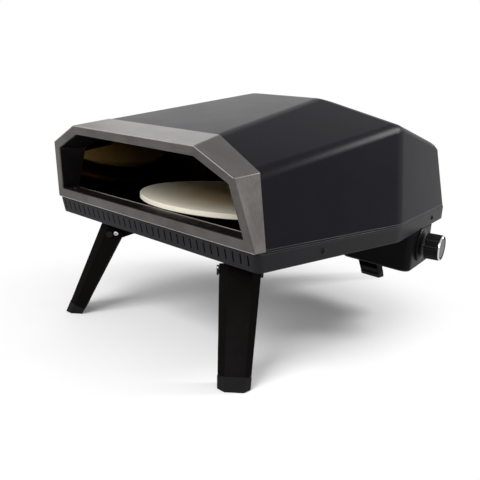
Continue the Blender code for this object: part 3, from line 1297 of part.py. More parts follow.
def build_fasteners(tag, axis, pin_place, splay):
    """The pivot bolt with its nut, and the lock pin that rides in the arc slot."""
    half = LEG_TOP_WIDTH / 2 + SEAM
    head = half + BOLT_HEAD
    profile = [(0, head), (BOLT_HEAD_RADIUS * HEAD_DOME_SHARE, head),
               (BOLT_HEAD_RADIUS, half + BOLT_HEAD * HEAD_EDGE_SHARE), (BOLT_HEAD_RADIUS, half),
               (BOLT_RADIUS, half), (BOLT_RADIUS, -half), (BOLT_HEAD_RADIUS, -half),
               (BOLT_HEAD_RADIUS, -head), (0, -head)]
    turned("pivot_bolt_" + tag, profile, "steel", axis, SMALL_STEPS)
    nose = bracket_half_width(splay) - BRACKET_SHEET - PIN_NOSE
    head = half + PIN_HEAD
    profile = [(0, head), (PIN_HEAD_RADIUS * HEAD_DOME_SHARE, head),
               (PIN_HEAD_RADIUS, half + PIN_HEAD * HEAD_EDGE_SHARE), (PIN_HEAD_RADIUS, half),
               (PIN_RADIUS, half), (PIN_RADIUS, nose), (0, nose)]
    turned("lock_pin_" + tag, profile, "chrome", pin_place, SMALL_STEPS)


def leg_place(side, y, turn_degrees):
    """A placement at the pivot whose X points outward in plan."""
    turn = Matrix.Rotation(math.radians(turn_degrees), 4, "Z")
    return Matrix.Translation((side, y, PIVOT_HEIGHT)) @ turn


def build_legs():
    front = math.radians(FRONT_SPLAY_DEGREES)
    rear = math.radians(REAR_SPLAY_DEGREES)
    for side, tag, turn in ((1, "front_right", -FRONT_LEG_TURN_DEGREES),
                            (-1, "front_left", FRONT_LEG_TURN_DEGREES - 180)):
        place = leg_place(side * FRONT_PIVOT_SIDE, -FRONT_PIVOT_AHEAD, turn)
        build_leg(tag, place, front, -side)
    build_leg("rear", leg_place(0, REAR_PIVOT_BEHIND, 90), rear, -1)


def hang_on_frame():
    """Carry every part and cutter on one empty that sets the oven over the origin."""
    frame = bpy.data.objects.new("oven_frame", None)
    PARTS.objects.link(frame)
    frame.location = (-AXIS_LEFT, -AXIS_AHEAD, 0)
    for obj in list(PARTS.objects) + list(CUTTERS.objects):
        if obj is not frame and obj.parent is None:
            obj.parent = frame


build_body()
build_bezel()
build_tray()
build_floor()
build_stone()
build_turntable()
build_drive()
build_housing()
build_burner()
build_gas()
build_control_box()
build_valve()
build_knob()
build_legs()
hang_on_frame()
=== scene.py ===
"""Rotating pizza oven: finishes, trim, studio stage and camera.

The file is laid out as an add-on and is run as a script. Every operator
dresses one piece, or one group of like pieces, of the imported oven.
"""
import math

import bmesh
import bpy
from bpy.props import FloatProperty, FloatVectorProperty, IntProperty, PointerProperty
from mathutils import Matrix, Vector
from mathutils.bvhtree import BVHTree
import numpy as np


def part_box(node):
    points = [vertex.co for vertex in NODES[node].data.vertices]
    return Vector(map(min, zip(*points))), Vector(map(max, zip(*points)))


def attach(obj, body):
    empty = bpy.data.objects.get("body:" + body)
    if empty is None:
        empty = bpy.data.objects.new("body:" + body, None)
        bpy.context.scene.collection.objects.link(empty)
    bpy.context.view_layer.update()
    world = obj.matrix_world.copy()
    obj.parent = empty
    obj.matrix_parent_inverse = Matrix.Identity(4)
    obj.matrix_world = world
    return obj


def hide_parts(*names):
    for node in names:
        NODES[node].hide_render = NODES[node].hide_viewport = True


bl_info = {
    "name": "Rotating Pizza Oven",
    "version": (1, 0, 0),
    "blender": (4, 5, 0),
    "location": "View3D > Sidebar > Oven",
    "description": "Finishes, trim, stage and camera for a rotating pizza oven",
    "category": "Object",
}

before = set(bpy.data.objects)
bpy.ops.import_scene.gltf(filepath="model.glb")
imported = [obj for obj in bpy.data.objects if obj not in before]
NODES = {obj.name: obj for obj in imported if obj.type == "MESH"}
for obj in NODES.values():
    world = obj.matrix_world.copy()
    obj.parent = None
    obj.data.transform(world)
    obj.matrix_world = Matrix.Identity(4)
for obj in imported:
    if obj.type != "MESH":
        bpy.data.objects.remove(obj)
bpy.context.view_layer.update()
MM = 0.001

STONE_LOW, STONE_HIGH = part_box("stone")
STONE_AXIS = Vector(((STONE_LOW.x + STONE_HIGH.x) / 2, (STONE_LOW.y + STONE_HIGH.y) / 2, 0))
LEG_TAGS = ("front_left", "front_right", "rear")
WELD = 0.01 * MM                     # points closer than this are one
NEAR = 10 * WELD                     # slack for a level, and where a ray starts

BEZEL_SLANT = 0.247                  # how far the mouth's frame leans ahead for its height
BEZEL_CROWN_DROP = 12.5 * MM         # from its top down to where it stands furthest ahead
BEZEL_AHEAD = Vector((0, -1, -BEZEL_SLANT)).normalized()
MOUTH_LEAST = 60 * MM                # free width or height that a face of the return looks across
# Cosines that sort the bezel's faces: hardly turned that way, turned up, flat in the front face
HARDLY, UPWARD, FLAT_AHEAD = 0.3, 0.6, 0.97

# The hood's corners: aside of the stone's axis, behind it and above the seam, in mm
HOOD_CORNERS = {
    "front_bottom": (230.4, -183.1, 0.0),
    "front_bend": (205.7, -179.1, 101.2),
    "front_roof": (126.5, -177.4, 141.6),
    "ridge": (75.6, 111.4, 197.7),
    "shoulder": (198.7, 178.5, 162.1),
    "middle": (237.4, 147.6, 0.0),
    "rear_top": (155.2, 411.0, 119.6),
    "rear_bottom": (172.4, 437.0, 0.0),
}
HOOD_SIDE_FACES = (
    ("front_bottom", "middle", "shoulder", "front_bend"),
    ("front_bend", "shoulder", "ridge", "front_roof"),
    ("middle", "rear_bottom", "rear_top", "shoulder"),
    ("shoulder", "rear_top", "ridge"),
)
HOOD_CROWN = ("front_roof", "ridge", "rear_top", "rear_bottom")
# Half the width of each bend, in mm
HOOD_BENDS = {
    frozenset(("front_bend", "shoulder")): 12.5,
    frozenset(("front_roof", "ridge")): 8.0,
    frozenset(("middle", "shoulder")): 14.0,
}
HOOD_REAR_BEND = 10.0                # all other bends
HOOD_WIDEST_BEND = max(HOOD_BENDS.values())
HOOD_BEND_STEPS = 8
HOOD_SHEET = 1.2 * MM
FLATS_FIRST = 100                    # weight at which the widest faces alone set the shading

# Thickness of raised trim as a share of its lift, which keeps it off the sheet that carries it
HEM_SHARE, EDGE_SHARE = 0.9, 0.7

# A turned end as (radius, height), in shares of its radius
ROUND_END = ((0.0, 0.0), (0.7, 0.3), (1.0, 1.0))
EDGE_SIDES, SCREW_SIDES, GROOVE_SIDES = 10, 32, 64
HEAD_RIM = 0.9                       # share of a head's radius beyond which its rim lies
DOME_RINGS = (0.92, 0.75, 0.5, 0.25)  # in head radii
RECESS_FLOOR = 0.55                  # width of a cross recess's floor as a share of its top's
POINT_DIGITS = 7                     # kept of each measure in metres

# Long lines of a brush: how far a pattern is squeezed along each axis
LINES_ACROSS, LINES_UPRIGHT = (0.04, 1.0, 1.0), (1.0, 1.0, 0.04)
STROKES_ACROSS, STROKES_UPRIGHT = (0.05, 1.0, 1.0), (1.0, 1.0, 0.05)
NOISE_LOW, NOISE_HIGH = 0.3, 0.7     # what noise mostly stays between
PAINT_STROKES = 1.5                  # depth of the frame's strokes in depths of a brushed line
TOAST_FROM = 0.15                    # how far baked the stone is where it starts to turn warm
FLECK_SHADES = (0.8, 0.76)           # shade of a fleck on plain and on toasted stone
# The sockets of a Mix node: its two inputs and its output
MIX_SOCKETS = {"FLOAT": (2, 3, 0), "RGBA": (6, 7, 2)}

# Where the lamps stand, in metres from the stone's axis at floor level, and what they aim at
LAMP_PLACES = {
    "key_lamp": (0.25, -1.9, 1.6),
    "back_lamp": (-1.7, 1.5, 1.0),
    "low_lamp": (1.5, -1.6, 0.55),
    "side_lamp": (1.8, 1.0, 0.5),
    "rim_lamp": (0.82, 1.65, 1.23),
}
LAMP_AIM = Vector((0, 0.1, 0.25))
FLOOR_NEAR = 0.2                     # radius inside which the floor takes its whole shadow
FLOOR_GLOW = 0.6                     # strength of the floor's glow for rays that aren't seen
PAPER_CLOUDS = 0.25                  # size of the paper's faint clouds
PAPER_SHADES = (0.86, 0.93)          # greys of its darkest and lightest places
WHITE = (1.0, 1.0, 1.0, 1.0)


def number_property(name, description, default, least=0.0, **kind):
    """A setting whose unit or subtype comes with kind."""
    return FloatProperty(name=name, description=description, default=default, min=least, **kind)


def share_property(name, description, default):
    return number_property(name, description, default, max=1.0, subtype="FACTOR")


def length_property(name, description, default):
    return number_property(name, description, default, subtype="DISTANCE", unit="LENGTH",
                           precision=5)


def power_property(name, description, default):
    return number_property(name, description, default, unit="POWER")


def angle_property(name, description, degrees):
    return FloatProperty(name=name, description=description, default=math.radians(degrees),
                         subtype="ANGLE", unit="ROTATION")


def colour_property(name, description, default):
    return FloatVectorProperty(name=name, description=description, default=default,
                               subtype="COLOR", size=3, min=0.0, max=1.0)


class OvenColours(bpy.types.PropertyGroup):
    """Colours of the oven's finishes."""
    hood: colour_property("Hood paint", "Charcoal powder coat of the hood",
                          (0.0082, 0.0076, 0.0104))
    tray: colour_property("Base paint", "Matte powder coat of the base and its small screws",
                          (0.011, 0.0105, 0.012))
    bezel: colour_property("Bezel", "Warm grey metallic paint of the mouth's frame",
                           (0.088, 0.081, 0.077))
    # Chamber enamel: a black gloss lining; its brown tint and strength are a painted warm
    # reflection of the lit stone
    enamel: colour_property("Chamber enamel", "Dark mirror gloss of the chamber's lining",
                            (0.185, 0.125, 0.048))
    stone: colour_property("Stone", "Cream body of the baking stone", (0.78, 0.74, 0.62))
    stone_toast: colour_property("Stone toast", "Warm patches baked into the stone",
                                 (0.56, 0.44, 0.26))
    leg: colour_property("Leg enamel", "Gloss black of the folding legs and their brackets",
                         (0.0036, 0.0027, 0.0027))
    rubber: colour_property("Rubber", "Rubber feet", (0.006, 0.0058, 0.006))
    plastic: colour_property("Plastic", "Black of the moulded plastic and the control box",
                             (0.004, 0.004, 0.0045))
    steel: colour_property("Steel", "Bare stainless steel", (0.50, 0.49, 0.47))
    bright: colour_property("Bright metal", "Polished lock screws", (0.45, 0.44, 0.43))
    ring: colour_property("Knob ring", "Polished ring at the knob's front", (0.55, 0.55, 0.55))
    # Bezel edges: lighter metal than the frame, a painted highlight for the light its narrow
    # rounds catch
    bezel_edge_highlight: colour_property("Bezel edges", "Polished edges of the mouth's frame",
                                (0.36, 0.34, 0.32))
    knob_face: colour_property("Knob face", "Satin grey disc on the knob",
                               (0.022, 0.0215, 0.0225))
    brass: colour_property("Brass", "Valve, bush and hose tail", (0.66, 0.47, 0.20))
    nylon: colour_property("Nylon", "Gear nylon", (0.72, 0.71, 0.66))
    blanket: colour_property("Blanket", "Mineral fibre blanket", (0.72, 0.70, 0.65))
    ceramic: colour_property("Ceramic", "Igniter's insulator", (0.80, 0.79, 0.75))
    lip: colour_property("Mouth lip", "Black lining of the mouth and sill",
                         (0.0075, 0.0066, 0.0070))
    # Sill edge: light bare-metal colour on the rolled edge, a painted highlight for the light the
    # edge catches
    sill_edge_highlight: colour_property("Sill edge", "Bare edge at the back of the sill",
                               (0.50, 0.44, 0.36))
    dark_screw: colour_property("Dark bolt", "Blackened steel of the legs' bolts",
                                (0.012, 0.0112, 0.0112))
    cell: colour_property("Cell sleeve", "Plastic sleeve of the cells", (0.05, 0.11, 0.22))


class OvenRelief(bpy.types.PropertyGroup):
    """Depths and grain sizes of the finishes."""
    coat_grain: length_property("Coat grain", "Size of the powder coat's grain", 0.9 * MM)
    coat_depth: length_property("Coat depth", "Depth of the powder coat's grain", 0.03 * MM)
    brush_depth: length_property("Brush depth", "Depth of brushed lines", 0.01 * MM)
    stone_pore: length_property("Stone pore", "Spacing of the stone's pores", 2.2 * MM)
    stone_depth: length_property("Stone depth", "Depth of the stone's pores", 0.25 * MM)


class OvenTrim(bpy.types.PropertyGroup):
    """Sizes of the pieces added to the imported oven."""
    lip_back: length_property("Lip back", "Bare bezel left in front of the mouth's lining",
                              1.8 * MM)
    lip_stand: length_property("Lip stand", "Height of the lining's face over the bezel's return",
                               0.45 * MM)
    lip_sheet: length_property("Lip sheet", "Thickness of the mouth's lining", 0.3 * MM)
    edge_radius: length_property("Sill edge", "Radius of the rolled edge behind the sill",
                                 0.55 * MM)
    hem_height: length_property("Hem height", "Height of the fold along the hood's foot",
                                3.6 * MM)
    hem_line: length_property("Hem line", "Height of each rounded line of the fold", 0.8 * MM)
    hem_proud: length_property("Hem proud", "How far the lines stand out of the hood", 0.4 * MM)
    groove_width: length_property("Groove width", "Width of the groove round the knob's face",
                                  3.4 * MM)
    # Also lifts the strips that carry the painted highlight on the bezel's edges
    edge_lift: length_property("Edge lift", "Height of the polished edges over the bezel",
                               0.08 * MM)
    recess_reach: share_property("Recess reach",
                                 "Half length of a cross recess in head radii", 0.58)
    recess_width: share_property("Recess width",
                                 "Width of a cross recess's arms in head radii", 0.4)
    recess_depth: share_property("Recess depth", "Depth of a cross recess in head heights", 0.55)


class OvenStage(bpy.types.PropertyGroup):
    """Camera, lamps and floor."""
    azimuth: angle_property("Azimuth", "Camera's turn round the oven", 42.42)
    elevation: angle_property("Elevation", "Camera's height as an angle", 13.49)
    roll: angle_property("Roll", "Camera's tilt in the picture", 4.126)
    lens: number_property("Lens", "Focal length in millimetres", 48.102, least=1.0)
    sensor: number_property("Sensor", "Sensor width in millimetres", 36.0, least=1.0)
    camera_right: length_property("Camera right", "Camera's distance right of the stone's axis",
                                  0.7468)
    camera_ahead: length_property("Camera ahead",
                                  "Camera's distance in front of the stone's axis", 0.8007)
    camera_height: length_property("Camera height", "Camera's height over the floor", 0.4101)
    key_power: power_property("Key power", "Watts of the high front lamp", 56.0)
    back_power: power_property("Back power", "Watts of the lamp behind on the left", 4.0)
    low_power: power_property("Low power", "Watts of the low lamp beside the camera", 4.0)
    side_power: power_property("Side power", "Watts of the small lamp on the right side", 3.0)
    rim_power: power_property("Rim power", "Watts of the small lamp behind on the right", 24.0)
    lamp_size: length_property("Lamp size", "Side of the large soft lamps", 1.3)
    low_size: length_property("Small lamp size", "Side of the low, side and rim lamps", 0.5)
    sky: number_property("Sky", "Strength of the world's light", 0.45)
    shadow_share: share_property("Shadow share",
                                 "Share of the near floor that takes light and shadow", 0.95)
    shadow_reach: length_property("Shadow reach", "Radius at which the floor is plain white",
                                  0.58)
    floor_radius: length_property("Floor radius", "Radius of the floor disc", 3.0)
    floor_steps: IntProperty(name="Floor steps", description="Sides of the floor disc",
                             default=64, min=8)


def add_node(tree, kind, inputs, operation=None):
    """A shader node whose inputs are set, or linked where an output is given."""
    node = tree.nodes.new(kind)
    if operation:
        node.operation = operation
    for socket, source in inputs.items():
        if isinstance(source, bpy.types.NodeSocket):
            tree.links.new(source, node.inputs[socket])
        else:
            node.inputs[socket].default_value = source
    return node


def shaded(colour, share):
    """A colour made darker or lighter by a share."""
    return tuple(min(channel * share, 1.0) for channel in colour)


class Finish:
    """A procedural material under construction, with its patterns in metres on the oven."""

    def __init__(self, name, colour, roughness, metallic=0.0, ior=1.5):
        self.material = bpy.data.materials.new(name)
        self.material.use_nodes = True
        self.tree = self.material.node_tree
        self.shader = self.tree.nodes["Principled BSDF"]
        self.colour = tuple(colour)
        self.material.diffuse_color = (*self.colour, 1.0)
        for socket, value in (("Base Color", (*self.colour, 1.0)), ("Metallic", metallic),
                              ("Roughness", roughness), ("IOR", ior)):
            self.shader.inputs[socket].default_value = value
        self.place = self.tree.nodes.new("ShaderNodeTexCoord").outputs["Object"]

    def link(self, output, socket):
        self.tree.links.new(output, self.shader.inputs[socket])

    def stretched(self, scale):
        """Object coordinates drawn out or squeezed along each axis."""
        mapping = add_node(self.tree, "ShaderNodeMapping", {"Vector": self.place, "Scale": scale})
        return mapping.outputs["Vector"]

    def noise(self, size, detail=3.0, rough=0.55, vector=None, twist=0.0):
        """Cloudy noise whose patches are about one size across."""
        node = add_node(self.tree, "ShaderNodeTexNoise", {
            "Vector": vector or self.place, "Scale": 1.0 / size, "Detail": detail,
            "Roughness": rough, "Distortion": twist})
        return node.outputs["Fac"]

    def cells(self, size):
        """Distance to scattered points about one size apart."""
        node = add_node(self.tree, "ShaderNodeTexVoronoi",
                        {"Vector": self.place, "Scale": 1.0 / size})
        return node.outputs["Distance"]

    def ramp(self, factor, stops):
        """Colours at given shares of a factor."""
        node = add_node(self.tree, "ShaderNodeValToRGB", {"Fac": factor})
        for end, (share, colour) in zip(node.color_ramp.elements, stops):
            end.position = share
            end.color = (*colour, 1.0)
        return node.outputs["Color"]

    def mixed(self, kind, share, first, second):
        """Two numbers or colours laid over one another by a share."""
        node = self.tree.nodes.new("ShaderNodeMix")
        node.data_type = kind
        under, over, result = MIX_SOCKETS[kind]
        for socket, source in ((0, share), (under, first), (over, second)):
            self.tree.links.new(source, node.inputs[socket])
        return node.outputs[result]

    def span(self, value, low, high, start=NOISE_LOW, end=NOISE_HIGH):
        """A value stretched from one range to another."""
        node = add_node(self.tree, "ShaderNodeMapRange", {
            "Value": value, "From Min": start, "From Max": end, "To Min": low, "To Max": high})
        return node.outputs["Result"]

    def summed(self, first, second, share):
        """First plus a share of second."""
        node = add_node(self.tree, "ShaderNodeMath", {0: second, 1: share, 2: first},
                        "MULTIPLY_ADD")
        return node.outputs["Value"]

    def from_axis(self, axis):
        """Distance from an upright axis."""
        flat = add_node(self.tree, "ShaderNodeVectorMath", {
            0: self.place, 1: (1.0, 1.0, 0.0), 2: (-axis.x, -axis.y, 0.0)}, "MULTIPLY_ADD")
        length = add_node(self.tree, "ShaderNodeVectorMath", {0: flat.outputs["Vector"]}, "LENGTH")
        return length.outputs["Value"]

    def sideways(self):
        """1 where a surface faces left or right, 0 where it faces ahead or up."""
        normal = self.tree.nodes.new("ShaderNodeNewGeometry").outputs["Normal"]
        split = add_node(self.tree, "ShaderNodeSeparateXYZ", {0: normal})
        size = add_node(self.tree, "ShaderNodeMath", {0: split.outputs["X"]}, "ABSOLUTE")
        return self.span(size.outputs["Value"], 0.0, 1.0, start=0.6, end=0.75)

    def relief(self, height, depth):
        """Bump of a given depth in metres."""
        node = add_node(self.tree, "ShaderNodeBump", {"Height": height, "Distance": depth})
        self.link(node.outputs["Normal"], "Normal")

    def vary_gloss(self, factor, low, high):
        """Roughness that runs between two values with a factor."""
        self.link(self.span(factor, low, high), "Roughness")

    def vary_shade(self, factor, spread):
        """Colour that drifts a share darker and lighter with a factor."""
        stops = ((NOISE_LOW, shaded(self.colour, 1 - spread)),
                 (NOISE_HIGH, shaded(self.colour, 1 + spread)))
        self.link(self.ramp(factor, stops), "Base Color")


def powder_coat(name, colour, relief, roughness, ior):
    """Sprayed powder coat: fine grain, slow drift in shade and gloss."""
    finish = Finish(name, colour, roughness=roughness, ior=ior)
    drift = finish.noise(size=60 * MM)
    grain = finish.noise(size=relief.coat_grain, detail=2.0)
    finish.vary_shade(finish.summed(drift, grain, share=0.15), spread=0.08)
    finish.vary_gloss(drift, low=roughness * 0.95, high=roughness * 1.05)
    finish.relief(grain, relief.coat_depth)
    return finish.material


def metallic_paint(name, colour, relief):
    """Warm brushed metallic finish: long fine strokes, tiny flakes and a faint drift in shade."""
    finish = Finish(name, colour, metallic=0.92, roughness=0.33)
    across, upright = (finish.noise(size=1.4 * MM, vector=finish.stretched(way))
                       for way in (STROKES_ACROSS, STROKES_UPRIGHT))
    strokes = finish.mixed("FLOAT", finish.sideways(), across, upright)
    flakes = finish.noise(size=0.5 * MM, detail=1.0)
    drift = finish.noise(size=60 * MM)
    streaks = finish.summed(finish.summed(drift, strokes, share=0.6), flakes, share=0.12)
    finish.vary_shade(finish.span(streaks, 0.0, 1.0, start=0.6, end=1.15), spread=0.16)
    finish.vary_gloss(strokes, low=0.30, high=0.38)
    finish.relief(strokes, relief.brush_depth * PAINT_STROKES)
    return finish.material


def gloss_enamel(name, colour, roughness, ior, metallic=0.0):
    """Fired enamel: deep gloss with a faint ripple and dust."""
    finish = Finish(name, colour, metallic=metallic, roughness=roughness, ior=ior)
    ripple = finish.noise(size=14 * MM, detail=2.0)
    specks = finish.noise(size=1.2 * MM)
    finish.vary_shade(specks, spread=0.25)
    finish.vary_gloss(ripple, low=roughness * 0.8, high=roughness * 1.25)
    finish.relief(ripple, depth=0.05 * MM)
    return finish.material


def cordierite(name, colours, relief):
    """Pressed baking stone: open pores, grey flecks and warm patches."""
    finish = Finish(name, colours.stone, roughness=0.86, ior=1.4)
    patches = finish.noise(size=85 * MM, detail=4.0, twist=0.4)
    speckle = finish.noise(size=1.6 * MM, detail=4.0, rough=0.7)
    pores = finish.cells(relief.stone_pore)
    middle = finish.span(finish.from_axis(STONE_AXIS), 1.0, 0.0, start=0.05, end=0.15)
    baked = finish.summed(middle, patches, share=0.35)

    def stone_colour(plain, toasted):
        return finish.ramp(baked, ((TOAST_FROM, shaded(colours.stone, plain)),
                                   (1.0, shaded(colours.stone_toast, toasted))))

    flecks = finish.span(speckle, 0.0, 0.7, start=0.52, end=0.72)
    colour = finish.mixed("RGBA", flecks, stone_colour(1.0, 1.0), stone_colour(*FLECK_SHADES))
    finish.link(colour, "Base Color")
    finish.vary_gloss(speckle, low=0.78, high=0.94)
    finish.relief(finish.summed(speckle, pores, share=0.8), relief.stone_depth)
    return finish.material


def brushed_metal(name, colour, relief, roughness, along=LINES_UPRIGHT, spread=0.12):
    """Metal with fine drawn lines along one axis."""
    finish = Finish(name, colour, metallic=1.0, roughness=roughness)
    lines = finish.noise(size=0.5 * MM, detail=2.0, vector=finish.stretched(along))
    drift = finish.noise(size=20 * MM)
    finish.vary_shade(finish.summed(drift, lines, share=0.3), spread)
    finish.vary_gloss(lines, low=roughness * 0.8, high=roughness * 1.25)
    finish.relief(lines, relief.brush_depth)
    return finish.material


def moulded_plastic(name, colour, relief, roughness, ior=1.46):
    """Moulded plastic or rubber with a fine spark texture."""
    finish = Finish(name, colour, roughness=roughness, ior=ior)
    spark = finish.noise(size=0.7 * MM, detail=2.0)
    drift = finish.noise(size=25 * MM)
    finish.vary_shade(finish.summed(drift, spark, share=0.2), spread=0.18)
    finish.vary_gloss(spark, low=roughness * 0.85, high=roughness * 1.15)
    finish.relief(spark, relief.coat_depth)
    return finish.material


def fibre_blanket(name, colour):
    """Needled mineral wool: matted strands."""
    finish = Finish(name, colour, roughness=0.95, ior=1.3)
    strands = finish.noise(size=2.5 * MM, detail=6.0, rough=0.75, twist=1.5)
    finish.vary_shade(strands, spread=0.18)
    finish.vary_gloss(strands, low=0.88, high=1.0)
    finish.relief(strands, depth=0.8 * MM)
    return finish.material


def dress(material, *names):
    """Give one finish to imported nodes."""
    for name in names:
        for slot in NODES[name].material_slots:
            slot.material = material


def mesh_of(name, body):
    """A named mesh from a bmesh, which is freed."""
    mesh = bpy.data.meshes.new(name)
    body.to_mesh(mesh)
    body.free()
    return mesh


def add_object(name, data):
    """A new object in the scene."""
    thing = bpy.data.objects.new(name, data)
    bpy.context.scene.collection.objects.link(thing)
    return thing


def add_piece(name, body, material, carrier="oven"):
    """A new piece from a bmesh, riding on a body of the oven."""
    mesh = mesh_of(name, body)
    mesh.materials.append(material)
    piece = add_object(name, mesh)
    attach(piece, carrier)
    return piece


def thicken(piece, sheet):
    """Give a surface piece the thickness of its sheet, behind its face."""
    solid = piece.modifiers.new("sheet", "SOLIDIFY")
    solid.thickness = sheet
    solid.offset = -1
    solid.use_even_offset = True


def shade_round(piece):
    """Shade a piece's bends round and leave its flats flat."""
    piece.data.shade_smooth()
    even = piece.modifiers.new("even", "WEIGHTED_NORMAL")
    even.keep_sharp = True
    even.weight = FLATS_FIRST


def settle(piece):
    """Apply a piece's modifiers."""
    shown = piece.evaluated_get(bpy.context.evaluated_depsgraph_get())
    mesh = bpy.data.meshes.new_from_object(shown)
    piece.modifiers.clear()
    plain, piece.data = piece.data, mesh
    bpy.data.meshes.remove(plain)


def node_skin(node):
    """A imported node's surface as a welded bmesh."""
    skin = bmesh.new()
    skin.from_mesh(NODES[node].data)
    bmesh.ops.remove_doubles(skin, verts=skin.verts, dist=WELD)
    skin.normal_update()
    return skin


def trim_to(skin, point, normal):
    """Cut off what lies beyond a plane."""
    everything = skin.verts[:] + skin.edges[:] + skin.faces[:]
    bmesh.ops.bisect_plane(skin, geom=everything, plane_co=point, plane_no=normal,
                           clear_outer=True)


def keep_faces(skin, wanted):
    """Drop the faces that a test doesn't want, and what hangs on them."""
    bmesh.ops.delete(skin, geom=[face for face in skin.faces if not wanted(face)],
                     context="FACES")


def lift(skin, height):
    """Move a surface off what carries it, along its normals."""
    skin.normal_update()
    for vertex, normal in [(vertex, vertex.normal.copy()) for vertex in skin.verts]:
        vertex.co += normal * height


def lathe(profile, steps, ring=False):
    """A closed turned body from (radius, height) points.

    Its ends lie on the axis, or are joined into a ring.
    """
    body = bmesh.new()
    turns = [2 * math.pi * step / steps for step in range(steps)]
    rings = []
    for radius, height in profile:
        around = turns if radius else turns[:1]
        rings.append([body.verts.new((radius * math.cos(turn), radius * math.sin(turn), height))
                      for turn in around])
    if ring:
        rings.append(rings[0])
    for lower, upper in zip(rings, rings[1:]):
        for step in range(steps):
            after = (step + 1) % steps
            corners = [lower[step % len(lower)], lower[after % len(lower)],
                       upper[after % len(upper)], upper[step % len(upper)]]
            body.faces.new(list(dict.fromkeys(corners)))
    bmesh.ops.recalc_face_normals(body, faces=body.faces)
    return body


def rolled_edge(start, end, radius):
    """A thin bar with rounded ends between two points."""
    length = (end - start).length
    profile = [(radius * r, radius * h) for r, h in ROUND_END]
    profile += [(radius * r, length - radius * h) for r, h in reversed(ROUND_END)]
    body = lathe(profile, EDGE_SIDES)
    turn = (end - start).to_track_quat("Z", "Y").to_matrix().to_4x4()
    body.transform(Matrix.Translation(start) @ turn)
    return body


class TurnedShape:
    """Where a packed screw or disc stands and how large it is, read from its mesh."""

    def __init__(self, node):
        points = np.array([vertex.co for vertex in NODES[node].data.vertices])
        points = np.unique(points.round(POINT_DIGITS), axis=0)
        centre = (points.min(axis=0) + points.max(axis=0)) / 2
        spread, ways = np.linalg.eigh(np.cov((points - points.mean(axis=0)).T))
        lone = int(np.argmax(np.abs(spread - np.median(spread))))
        axis = ways[:, lone]
        along = (points - centre) @ axis
        away = np.linalg.norm((points - centre) - np.outer(along, axis), axis=1)
        if away[along > 0].max() < away[along < 0].max():
            axis, along = -axis, -along
        self.head_radius = float(away.max())
        self.shank_radius = float(away[along < along.min() + WELD].max())
        self.bottom, self.top = float(along.min()), float(along.max())
        rim = along[away > self.head_radius * HEAD_RIM]
        self.seat, self.shoulder = float(rim.min()), float(rim.max())
        turn = Vector(axis).to_track_quat("Z", "Y").to_matrix().to_4x4()
        self.place = Matrix.Translation(Vector(centre)) @ turn


def cross_recess(shape, trim):
    """The cutter of a cross recess, narrower at its floor."""
    reach = shape.head_radius * trim.recess_reach
    half = shape.head_radius * trim.recess_width / 2
    floor = shape.top - (shape.top - shape.seat) * trim.recess_depth
    body = bmesh.new()
    rings = []
    for height, share in ((floor, RECESS_FLOOR), (shape.top + half, 1.0)):
        ring = []
        for step in range(4):
            spin = Matrix.Rotation(step * math.pi / 2, 3, "Z")
            for x, y in ((reach, -half), (reach, half), (half, half)):
                ring.append(body.verts.new(spin @ Vector((x * share, y * share, height))))
        rings.append(ring)
    lower, upper = rings
    for step in range(len(lower)):
        after = (step + 1) % len(lower)
        body.faces.new((lower[step], lower[after], upper[after], upper[step]))
    body.faces.new(reversed(lower))
    body.faces.new(upper)
    bmesh.ops.recalc_face_normals(body, faces=body.faces)
    return body


def crossed_screw(node, material, trim, carrier="oven"):
    """A turned screw with a domed head and a cross recess in place of a packed plain one."""
    shape = TurnedShape(node)
    dome = shape.top - shape.shoulder
    tip_radius, tip_rise = ROUND_END[1]
    profile = [(0, shape.bottom), (shape.shank_radius * tip_radius, shape.bottom),
               (shape.shank_radius, shape.bottom + shape.shank_radius * tip_rise),
               (shape.shank_radius, shape.seat), (shape.head_radius, shape.seat),
               (shape.head_radius, shape.shoulder)]
    for share in DOME_RINGS:
        profile.append((shape.head_radius * share,
                        shape.shoulder + dome * math.sqrt(1 - share ** 2)))
    body = lathe(profile + [(0, shape.top)], SCREW_SIDES)
    recess = cross_recess(shape, trim)
    for part in (body, recess):
        part.transform(shape.place)
    cutter_mesh = mesh_of(node + "_recess", recess)
    cutter = add_object(node + "_recess", cutter_mesh)
    piece = add_piece(node + "_crossed", body, material, carrier)
    carve = piece.modifiers.new("recess", "BOOLEAN")
    carve.operation = "DIFFERENCE"
    carve.solver = "EXACT"
    carve.object = cutter
    settle(piece)
    bpy.data.objects.remove(cutter)
    bpy.data.meshes.remove(cutter_mesh)
    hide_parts(node)


def hood_cage():
    """The hood's flat facets as a bmesh, with the width of each bend as its edge's weight."""
    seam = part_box("hood")[0].z
    cage = bmesh.new()
    weight = cage.edges.layers.float.new("bevel_weight_edge")
    corners = {}
    for name, (aside, behind, rise) in HOOD_CORNERS.items():
        for side in (1, -1):
            corners[name, side] = cage.verts.new((
                STONE_AXIS.x + side * aside * MM, STONE_AXIS.y + behind * MM, seam + rise * MM))
    for face in HOOD_SIDE_FACES:
        cage.faces.new([corners[name, 1] for name in face])
        cage.faces.new([corners[name, -1] for name in reversed(face)])
    for near, far in zip(HOOD_CROWN, HOOD_CROWN[1:]):
        cage.faces.new([corners[near, 1], corners[far, 1], corners[far, -1], corners[near, -1]])
    bmesh.ops.recalc_face_normals(cage, faces=cage.faces)
    top = max(cage.faces, key=lambda face: face.calc_center_median().z)
    if top.normal.z < 0:
        bmesh.ops.reverse_faces(cage, faces=cage.faces)
    names = {vertex: name for (name, side), vertex in corners.items()}
    for edge in cage.edges:
        bend = HOOD_BENDS.get(frozenset(names[vertex] for vertex in edge.verts), HOOD_REAR_BEND)
        edge[weight] = 0.0 if edge.is_boundary else bend / HOOD_WIDEST_BEND
    return cage


